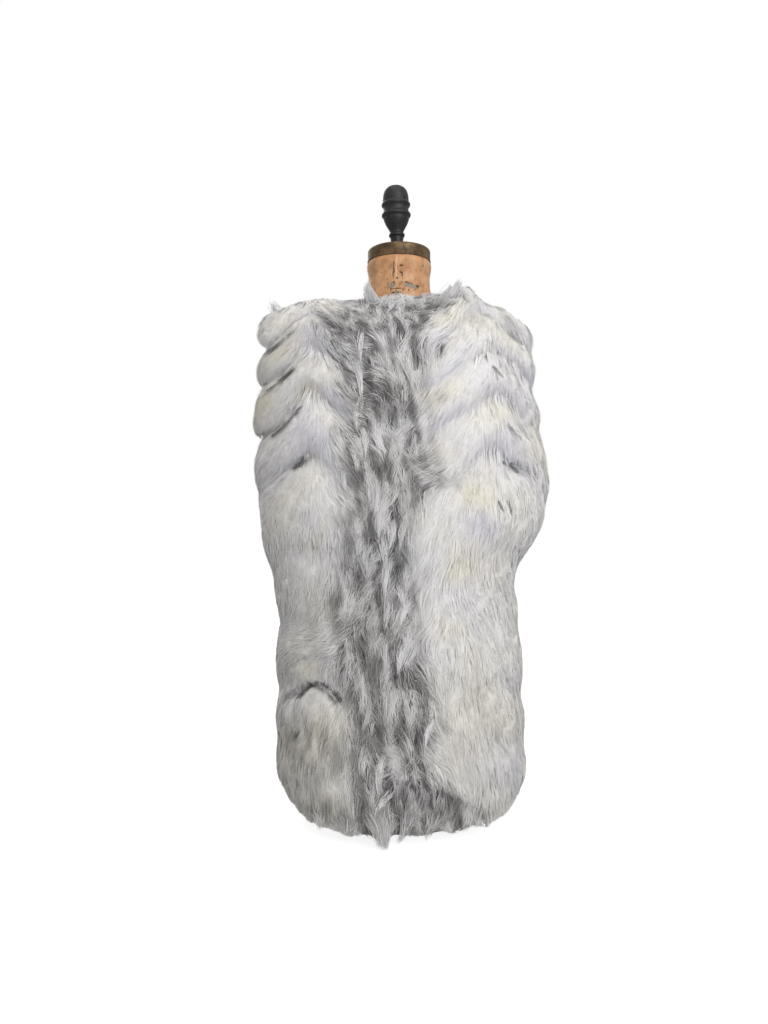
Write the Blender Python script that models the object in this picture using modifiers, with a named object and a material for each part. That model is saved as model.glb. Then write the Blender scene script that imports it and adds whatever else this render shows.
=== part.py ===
"""Sleeveless faux fur vest worn by a limbless dress form that stands on a table.

Metres, +Z up. The front faces -Y, and +X is the viewer's right. The origin is the
centre of the flat foot under the dress form.

The cloth backing is one surface, worked out from a table of sections: a tube from the
hem to the chest, and an arch from the chest over the shoulder. Each panel is a stretch
of it, thickened outwards by the depth of the pile.
"""

import math
from collections import namedtuple

import bmesh
import bpy
import numpy as np

# Driving dimensions of the vest
ARCH_Z = 0.560
HEM_FRONT_Z = 0.0295
HEM_BACK_Z = 0.038
HEM_SIDE_RISE = 0.0245
SECTION_POWER = 0.84
ARCH_POWER = 0.80
SHOULDER_NECK_Z = 0.7330
SHOULDER_SLOPE = 0.25
NECK_HALF_WIDTH = 0.063
NECK_FRONT_DEPTH = 0.070
NECK_BACK_DEPTH = 0.063
UNDERARM_Z = 0.475
ARMHOLE_ANGLE = math.radians(69)
ARMHOLE_WIDEST_ROW = 1.12
SEAM_GAP = 0.0003

# Pile: how far the fur stands off the backing, with the backing's own thickness in it
PILE = 0.024
EDGE_PILE = 0.62
EDGE_REACH = 0.011
HEM_REACH = 0.010
TUFT_DEPTH = 0.004
LOWEST_TIP_Z = 0.003
FLAP_PILE = 0.50
FLAP_TOP_ROW = 0.17

# The pelt bands: an M-shaped chevron, with its peaks on each side of the front
BAND_PEAK_X = 0.118
BAND_SIDE_X = 0.190
BAND_CENTRE_DROP = 0.088
BAND_SIDE_DROP = 0.048
GROOVE_SKEW = 1.4
GROOVE_FILL = 0.8
CENTRE_STRIP = 0.055

# How finely each panel is divided
TUBE_ROWS = 30
ARCH_ROWS = 16
FRONT_COLUMNS = 14
BACK_COLUMNS = 26

# The dress form
FORM_SEGMENTS = 32
FORM_POWER = 0.88
ROUND_NECK_Z = 0.760
CAP_RADIUS = 0.0452
CAP_WALL = 0.0008
CAP_BOTTOM_Z = 0.800
CAP_TOP_Z = 0.8185
CAP_ROUND = 0.004
REST_GAP = 0.0003
FINIAL_TILT = math.radians(-1.8)
FINIAL_X = -0.0025
TURNED_STEPS = 32

# Backing half widths and depths of the tube, from the hem up to the chest
Section = namedtuple("Section", "z left right front back")
SECTIONS = (
    Section(z=0.000, left=0.140, right=0.150, front=0.103, back=0.100),
    Section(z=0.045, left=0.146, right=0.155, front=0.106, back=0.102),
    Section(z=0.080, left=0.152, right=0.158, front=0.108, back=0.103),
    Section(z=0.140, left=0.153, right=0.156, front=0.109, back=0.104),
    Section(z=0.200, left=0.153, right=0.154, front=0.108, back=0.102),
    Section(z=0.255, left=0.153, right=0.151, front=0.106, back=0.099),
    Section(z=0.300, left=0.150, right=0.147, front=0.105, back=0.097),
    Section(z=0.336, left=0.157, right=0.141, front=0.107, back=0.097),
    Section(z=0.370, left=0.166, right=0.152, front=0.110, back=0.098),
    Section(z=0.395, left=0.171, right=0.163, front=0.113, back=0.100),
    Section(z=0.430, left=0.177, right=0.183, front=0.116, back=0.103),
    Section(z=0.455, left=0.183, right=0.191, front=0.118, back=0.105),
    Section(z=0.510, left=0.184, right=0.191, front=0.118, back=0.107),
    Section(z=0.560, left=0.190, right=0.187, front=0.115, back=0.107),
)

# The closing edge between the fronts: x at each row, 0 at the hem and 1 at the chest.
# It starts at the foot of the cutaway, climbs to the centre and then runs up to the neck.
Closing = namedtuple("Closing", "row x")
CLOSING_EDGE = (
    Closing(row=0.000, x=0.1060),
    Closing(row=0.030, x=0.0940),
    Closing(row=0.065, x=0.0720),
    Closing(row=0.100, x=0.0360),
    Closing(row=0.130, x=-0.0080),
    Closing(row=0.160, x=-0.0285),
    Closing(row=0.200, x=-0.0310),
    Closing(row=0.320, x=-0.0280),
    Closing(row=0.480, x=-0.0235),
    Closing(row=0.590, x=-0.0215),
    Closing(row=0.680, x=-0.0300),
    Closing(row=0.780, x=-0.0380),
    Closing(row=0.885, x=-0.0480),
    Closing(row=1.000, x=-0.0520),
    Closing(row=1.600, x=-0.0510),
)

# The grooves between the pelt bands, from the hem up: the height of each at its peaks
Groove = namedtuple("Groove", "z depth")
GROOVES = (
    Groove(z=-0.020, depth=0.002),
    Groove(z=0.070, depth=0.003),
    Groove(z=0.145, depth=0.004),
    Groove(z=0.212, depth=0.006),
    Groove(z=0.297, depth=0.004),
    Groove(z=0.396, depth=0.006),
    Groove(z=0.516, depth=0.009),
    Groove(z=0.592, depth=0.010),
    Groove(z=0.656, depth=0.010),
    Groove(z=0.705, depth=0.010),
    Groove(z=0.752, depth=0.006),
    Groove(z=0.810, depth=0.004),
    Groove(z=0.890, depth=0.003),
)

# How much deeper or shallower the pile stands along the shoulders
Loft = namedtuple("Loft", "x extra")
SHOULDER_LOFT = (
    Loft(x=-0.185, extra=0.007),
    Loft(x=-0.140, extra=0.004),
    Loft(x=-0.100, extra=-0.003),
    Loft(x=-0.062, extra=-0.010),
    Loft(x=0.000, extra=0.000),
    Loft(x=0.062, extra=0.006),
    Loft(x=0.082, extra=0.013),
    Loft(x=0.105, extra=0.001),
    Loft(x=0.140, extra=0.002),
    Loft(x=0.185, extra=-0.003),
)

# Locks that hang below the hem of the fronts
HemLock = namedtuple("HemLock", "x drop width")
HEM_LOCKS = (
    HemLock(x=-0.0225, drop=0.019, width=0.013),
    HemLock(x=-0.085, drop=0.008, width=0.016),
    HemLock(x=0.060, drop=0.003, width=0.020),
    HemLock(x=0.140, drop=0.005, width=0.016),
)

# The dress form's body, from its foot up into the neck cap
FormSection = namedtuple("FormSection", "z half_width front back")
FORM_SECTIONS = (
    FormSection(z=0.000, half_width=0.088, front=0.070, back=0.070),
    FormSection(z=0.006, half_width=0.098, front=0.077, back=0.076),
    FormSection(z=0.030, half_width=0.122, front=0.088, back=0.087),
    FormSection(z=0.070, half_width=0.138, front=0.096, back=0.095),
    FormSection(z=0.140, half_width=0.143, front=0.099, back=0.097),
    FormSection(z=0.210, half_width=0.136, front=0.094, back=0.090),
    FormSection(z=0.280, half_width=0.122, front=0.087, back=0.081),
    FormSection(z=0.320, half_width=0.118, front=0.086, back=0.079),
    FormSection(z=0.380, half_width=0.126, front=0.096, back=0.083),
    FormSection(z=0.440, half_width=0.138, front=0.109, back=0.089),
    FormSection(z=0.490, half_width=0.146, front=0.111, back=0.094),
    FormSection(z=0.560, half_width=0.153, front=0.103, back=0.096),
    FormSection(z=0.620, half_width=0.158, front=0.090, back=0.092),
    FormSection(z=0.660, half_width=0.162, front=0.081, back=0.084),
    FormSection(z=0.685, half_width=0.1622, front=0.073, back=0.076),
    FormSection(z=0.700, half_width=0.1595, front=0.062, back=0.060),
    FormSection(z=0.7100, half_width=0.1505, front=0.0520, back=0.0500),
    FormSection(z=0.7150, half_width=0.1322, front=0.0480, back=0.0470),
    FormSection(z=0.7220, half_width=0.1045, front=0.0440, back=0.0440),
    FormSection(z=0.7290, half_width=0.0756, front=0.0438, back=0.0425),
    FormSection(z=0.7310, half_width=0.0600, front=0.0442, back=0.0430),
    FormSection(z=0.7380, half_width=0.0535, front=0.0455, back=0.0448),
    FormSection(z=0.7460, half_width=0.0492, front=0.0456, back=0.0455),
    FormSection(z=0.7580, half_width=0.0464, front=0.0453, back=0.0453),
    FormSection(z=0.7750, half_width=0.0452, front=0.0450, back=0.0450),
    FormSection(z=0.7990, half_width=0.0448, front=0.0448, back=0.0448),
    FormSection(z=0.8003, half_width=0.0440, front=0.0440, back=0.0440),
    FormSection(z=0.8138, half_width=0.0440, front=0.0440, back=0.0440),
    FormSection(z=0.8160, half_width=0.0428, front=0.0428, back=0.0428),
    FormSection(z=0.8174, half_width=0.0405, front=0.0405, back=0.0405),
)

# The finial's turned outline, from its top down to the cap
Turning = namedtuple("Turning", "height radius")
FINIAL_OUTLINE = (
    Turning(height=0.0935, radius=0.0000),
    Turning(height=0.0931, radius=0.0050),
    Turning(height=0.0915, radius=0.0100),
    Turning(height=0.0890, radius=0.0136),
    Turning(height=0.0855, radius=0.0162),
    Turning(height=0.0800, radius=0.0181),
    Turning(height=0.0725, radius=0.0188),
    Turning(height=0.0690, radius=0.0189),
    Turning(height=0.0674, radius=0.0203),
    Turning(height=0.0658, radius=0.0209),
    Turning(height=0.0640, radius=0.0205),
    Turning(height=0.0622, radius=0.0190),
    Turning(height=0.0580, radius=0.0181),
    Turning(height=0.0540, radius=0.0190),
    Turning(height=0.0523, radius=0.0207),
    Turning(height=0.0505, radius=0.0212),
    Turning(height=0.0488, radius=0.0206),
    Turning(height=0.0470, radius=0.0189),
    Turning(height=0.0435, radius=0.0181),
    Turning(height=0.0380, radius=0.0159),
    Turning(height=0.0320, radius=0.0126),
    Turning(height=0.0275, radius=0.0103),
    Turning(height=0.0247, radius=0.0098),
    Turning(height=0.0233, radius=0.0111),
    Turning(height=0.0205, radius=0.0114),
    Turning(height=0.0190, radius=0.0101),
    Turning(height=0.0160, radius=0.0094),
    Turning(height=0.0060, radius=0.0094),
    Turning(height=0.0030, radius=0.0112),
    Turning(height=0.0000, radius=0.0114),
    Turning(height=0.0000, radius=0.0000),
)

FRONT, BACK = -1, 1


def column(table, name):
    return np.array([getattr(row, name) for row in table])


def smooth_between(value, at, heights):
    """Reads a table at value along a curve that passes smoothly through its rows."""
    slopes = np.gradient(heights, at)
    value = np.clip(value, at[0], at[-1])
    place = np.clip(np.searchsorted(at, value) - 1, 0, len(at) - 2)
    step = at[place + 1] - at[place]
    t = (value - at[place]) / step
    return (
        heights[place] * (1 + 2 * t) * (1 - t) ** 2
        + heights[place + 1] * t**2 * (3 - 2 * t)
        + slopes[place] * step * t * (1 - t) ** 2
        + slopes[place + 1] * step * t**2 * (t - 1)
    )


def ease(value, low, high):
    """0 up to low, 1 from high on, and smooth between them."""
    t = np.clip((value - low) / (high - low), 0, 1)
    return t * t * (3 - 2 * t)


def signed_power(value, power):
    return np.sign(value) * np.abs(value) ** power


def half_width(angle, z):
    """The backing's half width at a height, on the side that the angle points to."""
    at = column(SECTIONS, "z")
    left = smooth_between(z, at, column(SECTIONS, "left"))
    right = smooth_between(z, at, column(SECTIONS, "right"))
    return np.where(angle < 0, left, right)


def depth(face, z):
    name = "front" if face == FRONT else "back"
    return smooth_between(z, column(SECTIONS, "z"), column(SECTIONS, name))


def hem_height(face, angle):
    """The hem rises to the side seams, and locks hang below it in front."""
    z = (HEM_FRONT_Z if face == FRONT else HEM_BACK_Z) + HEM_SIDE_RISE * np.sin(angle) ** 4
    side_z = HEM_FRONT_Z + HEM_SIDE_RISE
    return np.where(np.abs(angle) >= math.pi / 2, side_z, z + (side_z - z) * np.sin(angle) ** 8)


def backing_point(face, angle, row):
    """A point of the backing. Row runs from 0 at the hem to 1 at the chest, up the tube,
    and on to 2 at the shoulder seam, along the arch. The angle is 0 at the face's centre
    and a quarter turn at the side seams."""
    tube = np.clip(row, -1, 1)
    over = np.clip(row - 1, 0, 2) * math.pi / 2
    hem = hem_height(face, angle)
    z = hem + tube * (ARCH_Z - hem)
    x = half_width(angle, z) * signed_power(np.sin(angle), SECTION_POWER)
    y = face * depth(face, z) * signed_power(np.cos(angle), SECTION_POWER)
    shoulder_z = SHOULDER_NECK_Z - SHOULDER_SLOPE * (np.abs(x) - NECK_HALF_WIDTH)
    y = y * signed_power(np.cos(over), ARCH_POWER)
    z = z + (shoulder_z - ARCH_Z) * signed_power(np.sin(over), ARCH_POWER)
    return np.stack([x, y, z], -1)


def outward(face, angle, row):
    """The backing's unit normal, from the surface's slopes across and up."""
    step = 1e-3
    across = backing_point(face, angle + step, row) - backing_point(face, angle - step, row)
    up = backing_point(face, angle, row + step) - backing_point(face, angle, row - step)
    normal = -face * np.cross(across, up)
    return normal / np.linalg.norm(normal, axis=-1, keepdims=True)


def angle_at(x, z):
    """The angle at which the backing is x from the middle."""
    share = np.clip(np.abs(x) / half_width(np.sign(x), z), 0, 1) ** (1 / SECTION_POWER)
    return np.sign(x) * np.arcsin(share)


def closing_angle(row):
    """The angle of the edge where the two fronts meet."""
    x = smooth_between(row, column(CLOSING_EDGE, "row"), column(CLOSING_EDGE, "x"))
    z = HEM_FRONT_Z + np.clip(row, 0, 1) * (ARCH_Z - HEM_FRONT_Z)
    return angle_at(x, z)


def side_angle(row):
    """A quarter turn at the side seam, drawn in above the underarm to make the armhole."""
    underarm_row = (UNDERARM_Z - HEM_FRONT_Z) / (ARCH_Z - HEM_FRONT_Z)
    drawn = np.clip((row - underarm_row) / (ARMHOLE_WIDEST_ROW - underarm_row), 0, 1)
    return math.pi / 2 - (math.pi / 2 - ARMHOLE_ANGLE) * np.sqrt(drawn * (2 - drawn))


def top_row(face, angle):
    """The row at which a line up the panel ends: the shoulder seam, or the neckline."""
    x = np.abs(backing_point(face, angle, np.full_like(angle, 1.5))[..., 0])
    neck_depth = NECK_FRONT_DEPTH if face == FRONT else NECK_BACK_DEPTH
    ring = neck_depth * np.sqrt(np.clip(1 - (x / NECK_HALF_WIDTH) ** 2, 0, 1))
    chest = depth(face, ARCH_Z) * np.cos(angle) ** SECTION_POWER
    share = np.clip(ring / chest, 0, 1) ** (1 / ARCH_POWER)
    return 1 + np.arccos(share) / (math.pi / 2)


def chevron(x):
    """How far a pelt band lies below its peaks: an M, drawn along the width."""
    beyond = np.abs(x) - BAND_PEAK_X
    inner = BAND_CENTRE_DROP * np.clip(-beyond / BAND_PEAK_X, 0, 1)
    outer = BAND_SIDE_DROP * np.clip(beyond / (BAND_SIDE_X - BAND_PEAK_X), 0, 1.2)
    return inner + outer


def groove_depth(point):
    """How far the fur sinks between the pelt bands. Each band thickens downwards, to
    where its tips overhang the next groove."""
    x, z = point[..., 0], point[..., 2]
    at = column(GROOVES, "z")
    level = np.interp(z + chevron(x), at, np.arange(len(at)))
    below = 1 - level % 1
    sunk = 1 - np.sin(math.pi * below**GROOVE_SKEW) ** GROOVE_FILL
    side = 0.45 + 0.55 * ease(np.abs(x), CENTRE_STRIP * 0.5, CENTRE_STRIP * 1.5)
    return sunk * side * np.interp(level, np.arange(len(at)), column(GROOVES, "depth"))


def pile_depth(face, angle, row, edge):
    """The wall's thickness: pile, less the grooves, lofty at the shoulder tips, short at
    the free edges, and thinner where the under flap shows below the cutaway."""
    point = backing_point(face, angle, row)
    x = point[..., 0]
    full = PILE - groove_depth(point)
    loft = smooth_between(x, column(SHOULDER_LOFT, "x"), column(SHOULDER_LOFT, "extra"))
    full = full + loft * ease(row, 1.30, 1.75)
    if face == FRONT:
        under = ease(x, -0.024, 0.004) * (row < FLAP_TOP_ROW) * (angle < closing_angle(row) + 1e-6)
        full = full * (1 - (1 - FLAP_PILE) * under)
    return full * (1 - (1 - EDGE_PILE) * edge)


def hem_tufts(face, x, count):
    """How far the fur's tips hang below the hem, in points across the panel."""
    drop = HEM_REACH + TUFT_DEPTH * (np.arange(count) % 2)
    if face == FRONT:
        for lock in HEM_LOCKS:
            drop = drop + lock.drop * np.exp(-(((x - lock.x) / lock.width) ** 2))
    return drop


def panel_points(face, first_angle, last_angle, columns, free_first, free_last):
    """A panel's backing, its fur surface, and the tips of the fur round its free edges.
    The angles are functions of the row."""
    s = np.linspace(0, 1, columns + 1)[None, :]
    tube = np.linspace(0, 1, TUBE_ROWS + 1)[:, None]
    arch = (np.arange(1, ARCH_ROWS + 1) / ARCH_ROWS)[:, None]
    low_row = tube + 0 * s
    low_angle = first_angle(low_row) + (last_angle(low_row) - first_angle(low_row)) * s
    top = np.full_like(s, 2.0)
    for _ in range(4):
        top_angle = first_angle(top) + (last_angle(top) - first_angle(top)) * s
        top = top_row(face, top_angle)
    high_row = 1 + (top - 1) * arch
    high_angle = first_angle(high_row) + (last_angle(high_row) - first_angle(high_row)) * s
    row, angle = np.vstack([low_row, high_row]), np.vstack([low_angle, high_angle])
    neckline = top < 1.999
    count = np.arange(row.shape[0])[:, None]
    armhole = side_angle(row) < math.pi / 2 - 0.02
    edge = np.zeros_like(row)
    edge[-1] = neckline
    edge[-2] = 0.35 * neckline
    edge[0] = 1.0
    edge[1] = 0.3
    for free, place, inside in ((free_first, 0, 1), (free_last, -1, -2)):
        if free:
            edge[:, place] = np.maximum(edge[:, place], armhole[:, place])
            edge[:, inside] = np.maximum(edge[:, inside], 0.3 * armhole[:, inside])
    backing = backing_point(face, angle, row)
    fur = backing + outward(face, angle, row) * pile_depth(face, angle, row, edge)[..., None]
    hem_z = fur[0, :, 2].copy()
    fur[0, :, 2] = hem_z - 0.5 * HEM_REACH
    middle = (backing + fur) / 2
    tips_z = np.minimum(backing[0, :, 2], hem_z) - hem_tufts(face, middle[0, :, 0], s.size)
    middle[0, :, 2] = np.maximum(tips_z, LOWEST_TIP_Z)
    towards_edge = middle[-1] - middle[-2]
    reach = towards_edge / np.linalg.norm(towards_edge, axis=-1, keepdims=True)
    middle[-1] += reach * EDGE_REACH * neckline[0][:, None]
    for free, place, inside in ((free_first, 0, 1), (free_last, -1, -2)):
        if free:
            towards_edge = middle[:, place] - middle[:, inside]
            reach = towards_edge / np.linalg.norm(towards_edge, axis=-1, keepdims=True)
            tip = EDGE_REACH * armhole[:, place] * (0.8 + 0.4 * (count[:, 0] % 2))
            middle[1:-1, place] += (reach * tip[:, None])[1:-1]
    return backing, fur, middle


def keep_to_face(sheets, face):
    """Draws the side and shoulder seams back by half the seam's gap."""
    for points in sheets:
        points[..., 1] = face * np.maximum(face * points[..., 1], SEAM_GAP / 2)


def draw_back_closing(sheets, place, side):
    """Draws the closing edge back by half the seam's gap, aside and along its slope."""
    for points in sheets:
        points[:, place, 0] += side * SEAM_GAP / 2
        points[:, place, 2] += side * SEAM_GAP / 2


def material(name, colour, roughness, metallic=0.0):
    made = bpy.data.materials.new(name)
    made.use_nodes = True
    shader = made.node_tree.nodes["Principled BSDF"]
    shader.inputs["Base Color"].default_value = (*colour, 1)
    shader.inputs["Roughness"].default_value = roughness
    shader.inputs["Metallic"].default_value = metallic
    return made


def add_object(name, mesh, look, collection):
    mesh.materials.append(look)
    made = bpy.data.objects.new(name, mesh)
    collection.objects.link(made)
    return made


def closed_mesh(name, points, faces):
    mesh = bpy.data.meshes.new(name)
    mesh.from_pydata([tuple(p) for p in points], [], faces)
    work = bmesh.new()
    work.from_mesh(mesh)
    bmesh.ops.recalc_face_normals(work, faces=work.faces)
    bmesh.ops.triangulate(work, faces=work.faces)
    work.to_mesh(mesh)
    work.free()
    mesh.shade_smooth()
    return mesh


def wall_mesh(name, backing, fur, middle):
    """A closed wall: the backing and the fur as two grids, joined round their edge
    through the middle points, which give the edge its round."""
    rows, columns = backing.shape[:2]
    index = np.arange(rows * columns).reshape(rows, columns)
    around = np.concatenate([index[0, :-1], index[:-1, -1], index[-1, :0:-1], index[:0:-1, 0]])
    quads = np.stack([index[:-1, :-1], index[:-1, 1:], index[1:, 1:], index[1:, :-1]], -1).reshape(-1, 4)
    total, ring = rows * columns, len(around)
    rim = 2 * total + np.arange(ring)
    after, rim_after = np.roll(around, -1), np.roll(rim, -1)
    faces = np.vstack(
        [
            quads[:, ::-1],
            quads + total,
            np.stack([around, after, rim_after, rim], -1),
            np.stack([rim, rim_after, after + total, around + total], -1),
        ]
    )
    points = np.vstack([backing.reshape(-1, 3), fur.reshape(-1, 3), middle.reshape(-1, 3)[around]])
    return closed_mesh(name, points, faces.tolist())


def make_fronts(look, collection):
    """The wearer's right front carries the under flap; the left front has the cutaway."""
    sheets = panel_points(FRONT, lambda row: -side_angle(row), closing_angle, FRONT_COLUMNS, True, False)
    keep_to_face(sheets, FRONT)
    draw_back_closing(sheets, -1, -1)
    add_object("front_right", wall_mesh("front_right", *sheets), look, collection)
    sheets = panel_points(FRONT, closing_angle, side_angle, FRONT_COLUMNS, False, True)
    keep_to_face(sheets, FRONT)
    draw_back_closing(sheets, 0, 1)
    add_object("front_left", wall_mesh("front_left", *sheets), look, collection)


def make_back(look, collection):
    sheets = panel_points(BACK, lambda row: -side_angle(row), side_angle, BACK_COLUMNS, True, True)
    keep_to_face(sheets, BACK)
    add_object("back", wall_mesh("back", *sheets), look, collection)


def make_form_body(look, collection):
    """Closed rings lofted from the foot to the top of the neck, where they are round."""
    turn = np.arange(FORM_SEGMENTS) * 2 * math.pi / FORM_SEGMENTS
    points = []
    for ring in FORM_SECTIONS:
        depth_here = np.where(np.cos(turn) > 0, ring.front, ring.back)
        power = FORM_POWER + (1 - FORM_POWER) * ease(ring.z, ROUND_NECK_Z - 0.04, ROUND_NECK_Z)
        x = ring.half_width * signed_power(np.sin(turn), power)
        y = -depth_here * signed_power(np.cos(turn), power)
        points.append(np.stack([x, y, np.full_like(x, ring.z)], -1))
    rings = len(FORM_SECTIONS)
    index = np.arange(rings * FORM_SEGMENTS).reshape(rings, FORM_SEGMENTS)
    side = np.stack(
        [index[:-1], np.roll(index[:-1], -1, 1), np.roll(index[1:], -1, 1), index[1:]], -1
    ).reshape(-1, 4)
    faces = side.tolist() + [index[0].tolist(), index[-1].tolist()]
    mesh = closed_mesh("form_body", np.vstack(points), faces)
    add_object("form_body", mesh, look, collection)


def make_turned(name, outline, look, collection):
    """A turned piece: its outline, from the top down its outer side, with a Screw."""
    mesh = bpy.data.meshes.new(name)
    edges = [(i, i + 1) for i in range(len(outline) - 1)]
    mesh.from_pydata([(radius, 0, z) for radius, z in outline], edges, [])
    made = add_object(name, mesh, look, collection)
    screw = made.modifiers.new("turn", "SCREW")
    screw.steps = screw.render_steps = TURNED_STEPS
    screw.use_merge_vertices = True
    screw.merge_threshold = 0.0001
    return made


def make_neck_cap(look, collection):
    """A pressed metal cup over the top of the neck, open below."""
    turns = np.linspace(0, math.pi / 2, 5)
    centre_radius, centre_z = CAP_RADIUS - CAP_ROUND, CAP_TOP_Z - CAP_ROUND
    outer = [(centre_radius + CAP_ROUND * math.sin(t), centre_z + CAP_ROUND * math.cos(t)) for t in turns]
    bend = CAP_ROUND - CAP_WALL
    inner = [(centre_radius + bend * math.sin(t), centre_z + bend * math.cos(t)) for t in turns[::-1]]
    lip = [(CAP_RADIUS, CAP_BOTTOM_Z + 0.0025), (CAP_RADIUS + 0.0006, CAP_BOTTOM_Z + 0.0015)]
    foot = [(CAP_RADIUS + 0.0006, CAP_BOTTOM_Z), (CAP_RADIUS - CAP_WALL, CAP_BOTTOM_Z)]
    outline = [(0, CAP_TOP_Z), *outer, *lip, *foot, *inner, (0, CAP_TOP_Z - CAP_WALL)]
    make_turned("neck_cap", outline, look, collection)


def make_finial(look, collection):
    made = make_turned("finial", [(t.radius, t.height) for t in FINIAL_OUTLINE], look, collection)
    foot = FINIAL_OUTLINE[-2].radius
    lift = REST_GAP + foot * math.sin(abs(FINIAL_TILT))
    made.location = (FINIAL_X, 0, CAP_TOP_Z + lift)
    made.rotation_euler = (0, FINIAL_TILT, 0)


def main():
    for old in list(bpy.data.objects):
        bpy.data.objects.remove(old)
    collection = bpy.data.collections.new("faux_fur_vest_on_dress_form")
    bpy.context.scene.collection.children.link(collection)
    fur = material("fur_pile", (0.72, 0.71, 0.70), 0.9)
    canvas = material("form_paper", (0.62, 0.40, 0.25), 0.75)
    brass = material("aged_brass", (0.13, 0.095, 0.06), 0.5, 0.7)
    wood = material("black_wood", (0.016, 0.016, 0.018), 0.5)
    make_fronts(fur, collection)
    make_back(fur, collection)
    make_form_body(canvas, collection)
    make_neck_cap(brass, collection)
    make_finial(wood, collection)


main()
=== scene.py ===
import math
from collections import namedtuple

import bpy
import numpy as np
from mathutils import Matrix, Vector


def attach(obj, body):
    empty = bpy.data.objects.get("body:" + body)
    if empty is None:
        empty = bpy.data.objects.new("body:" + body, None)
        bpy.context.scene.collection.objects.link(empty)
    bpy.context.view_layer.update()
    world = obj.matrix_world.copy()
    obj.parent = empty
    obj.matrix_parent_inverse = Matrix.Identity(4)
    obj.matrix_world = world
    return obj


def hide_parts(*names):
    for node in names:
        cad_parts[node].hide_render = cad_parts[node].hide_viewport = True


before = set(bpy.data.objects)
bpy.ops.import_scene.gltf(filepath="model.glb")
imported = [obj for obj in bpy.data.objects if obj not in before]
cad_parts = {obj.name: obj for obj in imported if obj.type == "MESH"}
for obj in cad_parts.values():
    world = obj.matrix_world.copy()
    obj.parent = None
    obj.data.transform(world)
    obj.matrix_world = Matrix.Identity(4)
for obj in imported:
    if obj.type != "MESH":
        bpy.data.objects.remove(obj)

bl_info = {
    "name": "Faux Fur Vest on a Dress Form",
    "version": (1, 0, 0),
    "blender": (4, 5, 0),
    "location": "3D View > Sidebar > Fur Vest",
    "description": "Dresses the packed fur vest and dress form with pile, finishes and a studio",
    "category": "Object",
}

FRONT, BACK = -1, 1


def named_rows(kind, *values, **shared):
    """Named rows from plain tuples, with the columns that they share."""
    return tuple(kind(*value, **shared) for value in values)


# Sizes in metres, and angles. Those that shape the solids are as in the part's source

ARCH_Z = 0.560
HEM_FRONT_Z = 0.0295
HEM_BACK_Z = 0.038
HEM_SIDE_RISE = 0.0245
SECTION_POWER = 0.84
ARCH_POWER = 0.80
SHOULDER_NECK_Z = 0.7330
SHOULDER_SLOPE = 0.25
NECK_HALF_WIDTH = 0.063
NECK_FRONT_DEPTH = 0.070
NECK_BACK_DEPTH = 0.063
UNDERARM_Z = 0.475
ARMHOLE_ANGLE = math.radians(69)
ARMHOLE_WIDEST_ROW = 1.12

PILE = 0.024
FLAP_PILE = 0.50
FLAP_TOP_ROW = 0.17

BAND_PEAK_X = 0.118
BAND_SIDE_X = 0.190
BAND_CENTRE_DROP = 0.088
BAND_SIDE_DROP = 0.048
GROOVE_SKEW = 1.4
GROOVE_FILL = 0.8
CENTRE_STRIP = 0.055
RELIEF = 1.25  # how much deeper the combed bands are rolled than the solids'
PEAK_ROUND = 0.014  # the radius that rounds the bands' peaks
BAND_WANDER = 0.006  # how far the bands wander up and down
SHOULDER_ROWS = (1.30, 1.75)  # the rows over which the shoulders' loft comes in
LEAST_PILE = 0.005
WIDEST_ANGLE = math.radians(114)  # how far the grid of a face reaches round the side
ROW_SPAN = (-0.14, 2.14)  # from under the hem to past the shoulder seam
GRID_ANGLES, GRID_ROWS = 457, 571
CROWN_SHARE = 0.62  # how far the pile's normals follow its own top rather than the backing

FORM_POWER = 0.88
ROUND_NECK_Z = 0.760
CAP_RADIUS = 0.0452
CAP_WALL = 0.0008
CAP_BOTTOM_Z = 0.800
CAP_TOP_Z = 0.8185
CAP_ROUND = 0.004
REST_GAP = 0.0003
FINIAL_TILT = math.radians(-1.8)
FINIAL_X = -0.0025

Section = namedtuple("Section", "z left right front back")
SECTIONS = named_rows(
    Section,
    (0.0, 0.14, 0.15, 0.103, 0.1), (0.045, 0.146, 0.155, 0.106, 0.102),
    (0.08, 0.152, 0.158, 0.108, 0.103), (0.14, 0.153, 0.156, 0.109, 0.104),
    (0.2, 0.153, 0.154, 0.108, 0.102), (0.255, 0.153, 0.151, 0.106, 0.099),
    (0.3, 0.15, 0.147, 0.105, 0.097), (0.336, 0.157, 0.141, 0.107, 0.097),
    (0.37, 0.166, 0.152, 0.11, 0.098), (0.395, 0.171, 0.163, 0.113, 0.1),
    (0.43, 0.177, 0.183, 0.116, 0.103), (0.455, 0.183, 0.191, 0.118, 0.105),
    (0.51, 0.184, 0.191, 0.118, 0.107), (0.56, 0.19, 0.187, 0.115, 0.107),
)

Closing = namedtuple("Closing", "row x")
CLOSING_EDGE = named_rows(
    Closing,
    (0.0, 0.106), (0.03, 0.094), (0.065, 0.072), (0.1, 0.036), (0.13, -0.008), (0.16, -0.0285),
    (0.2, -0.031), (0.32, -0.028), (0.48, -0.0235), (0.59, -0.0215), (0.68, -0.03), (0.78, -0.038),
    (0.885, -0.048), (1.0, -0.052), (1.6, -0.051),
)

Groove = namedtuple("Groove", "z depth")
GROOVES = named_rows(
    Groove,
    (-0.02, 0.002), (0.07, 0.003), (0.145, 0.004), (0.212, 0.006), (0.297, 0.004), (0.396, 0.006),
    (0.516, 0.009), (0.592, 0.01), (0.656, 0.01), (0.705, 0.01), (0.752, 0.006), (0.81, 0.004),
    (0.89, 0.003),
)

Loft = namedtuple("Loft", "x extra")
SHOULDER_LOFT = named_rows(
    Loft,
    (-0.185, 0.007), (-0.14, 0.004), (-0.1, -0.003), (-0.062, -0.01), (0.0, 0.0), (0.062, 0.006),
    (0.082, 0.013), (0.105, 0.001), (0.14, 0.002), (0.185, -0.003),
)

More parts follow.
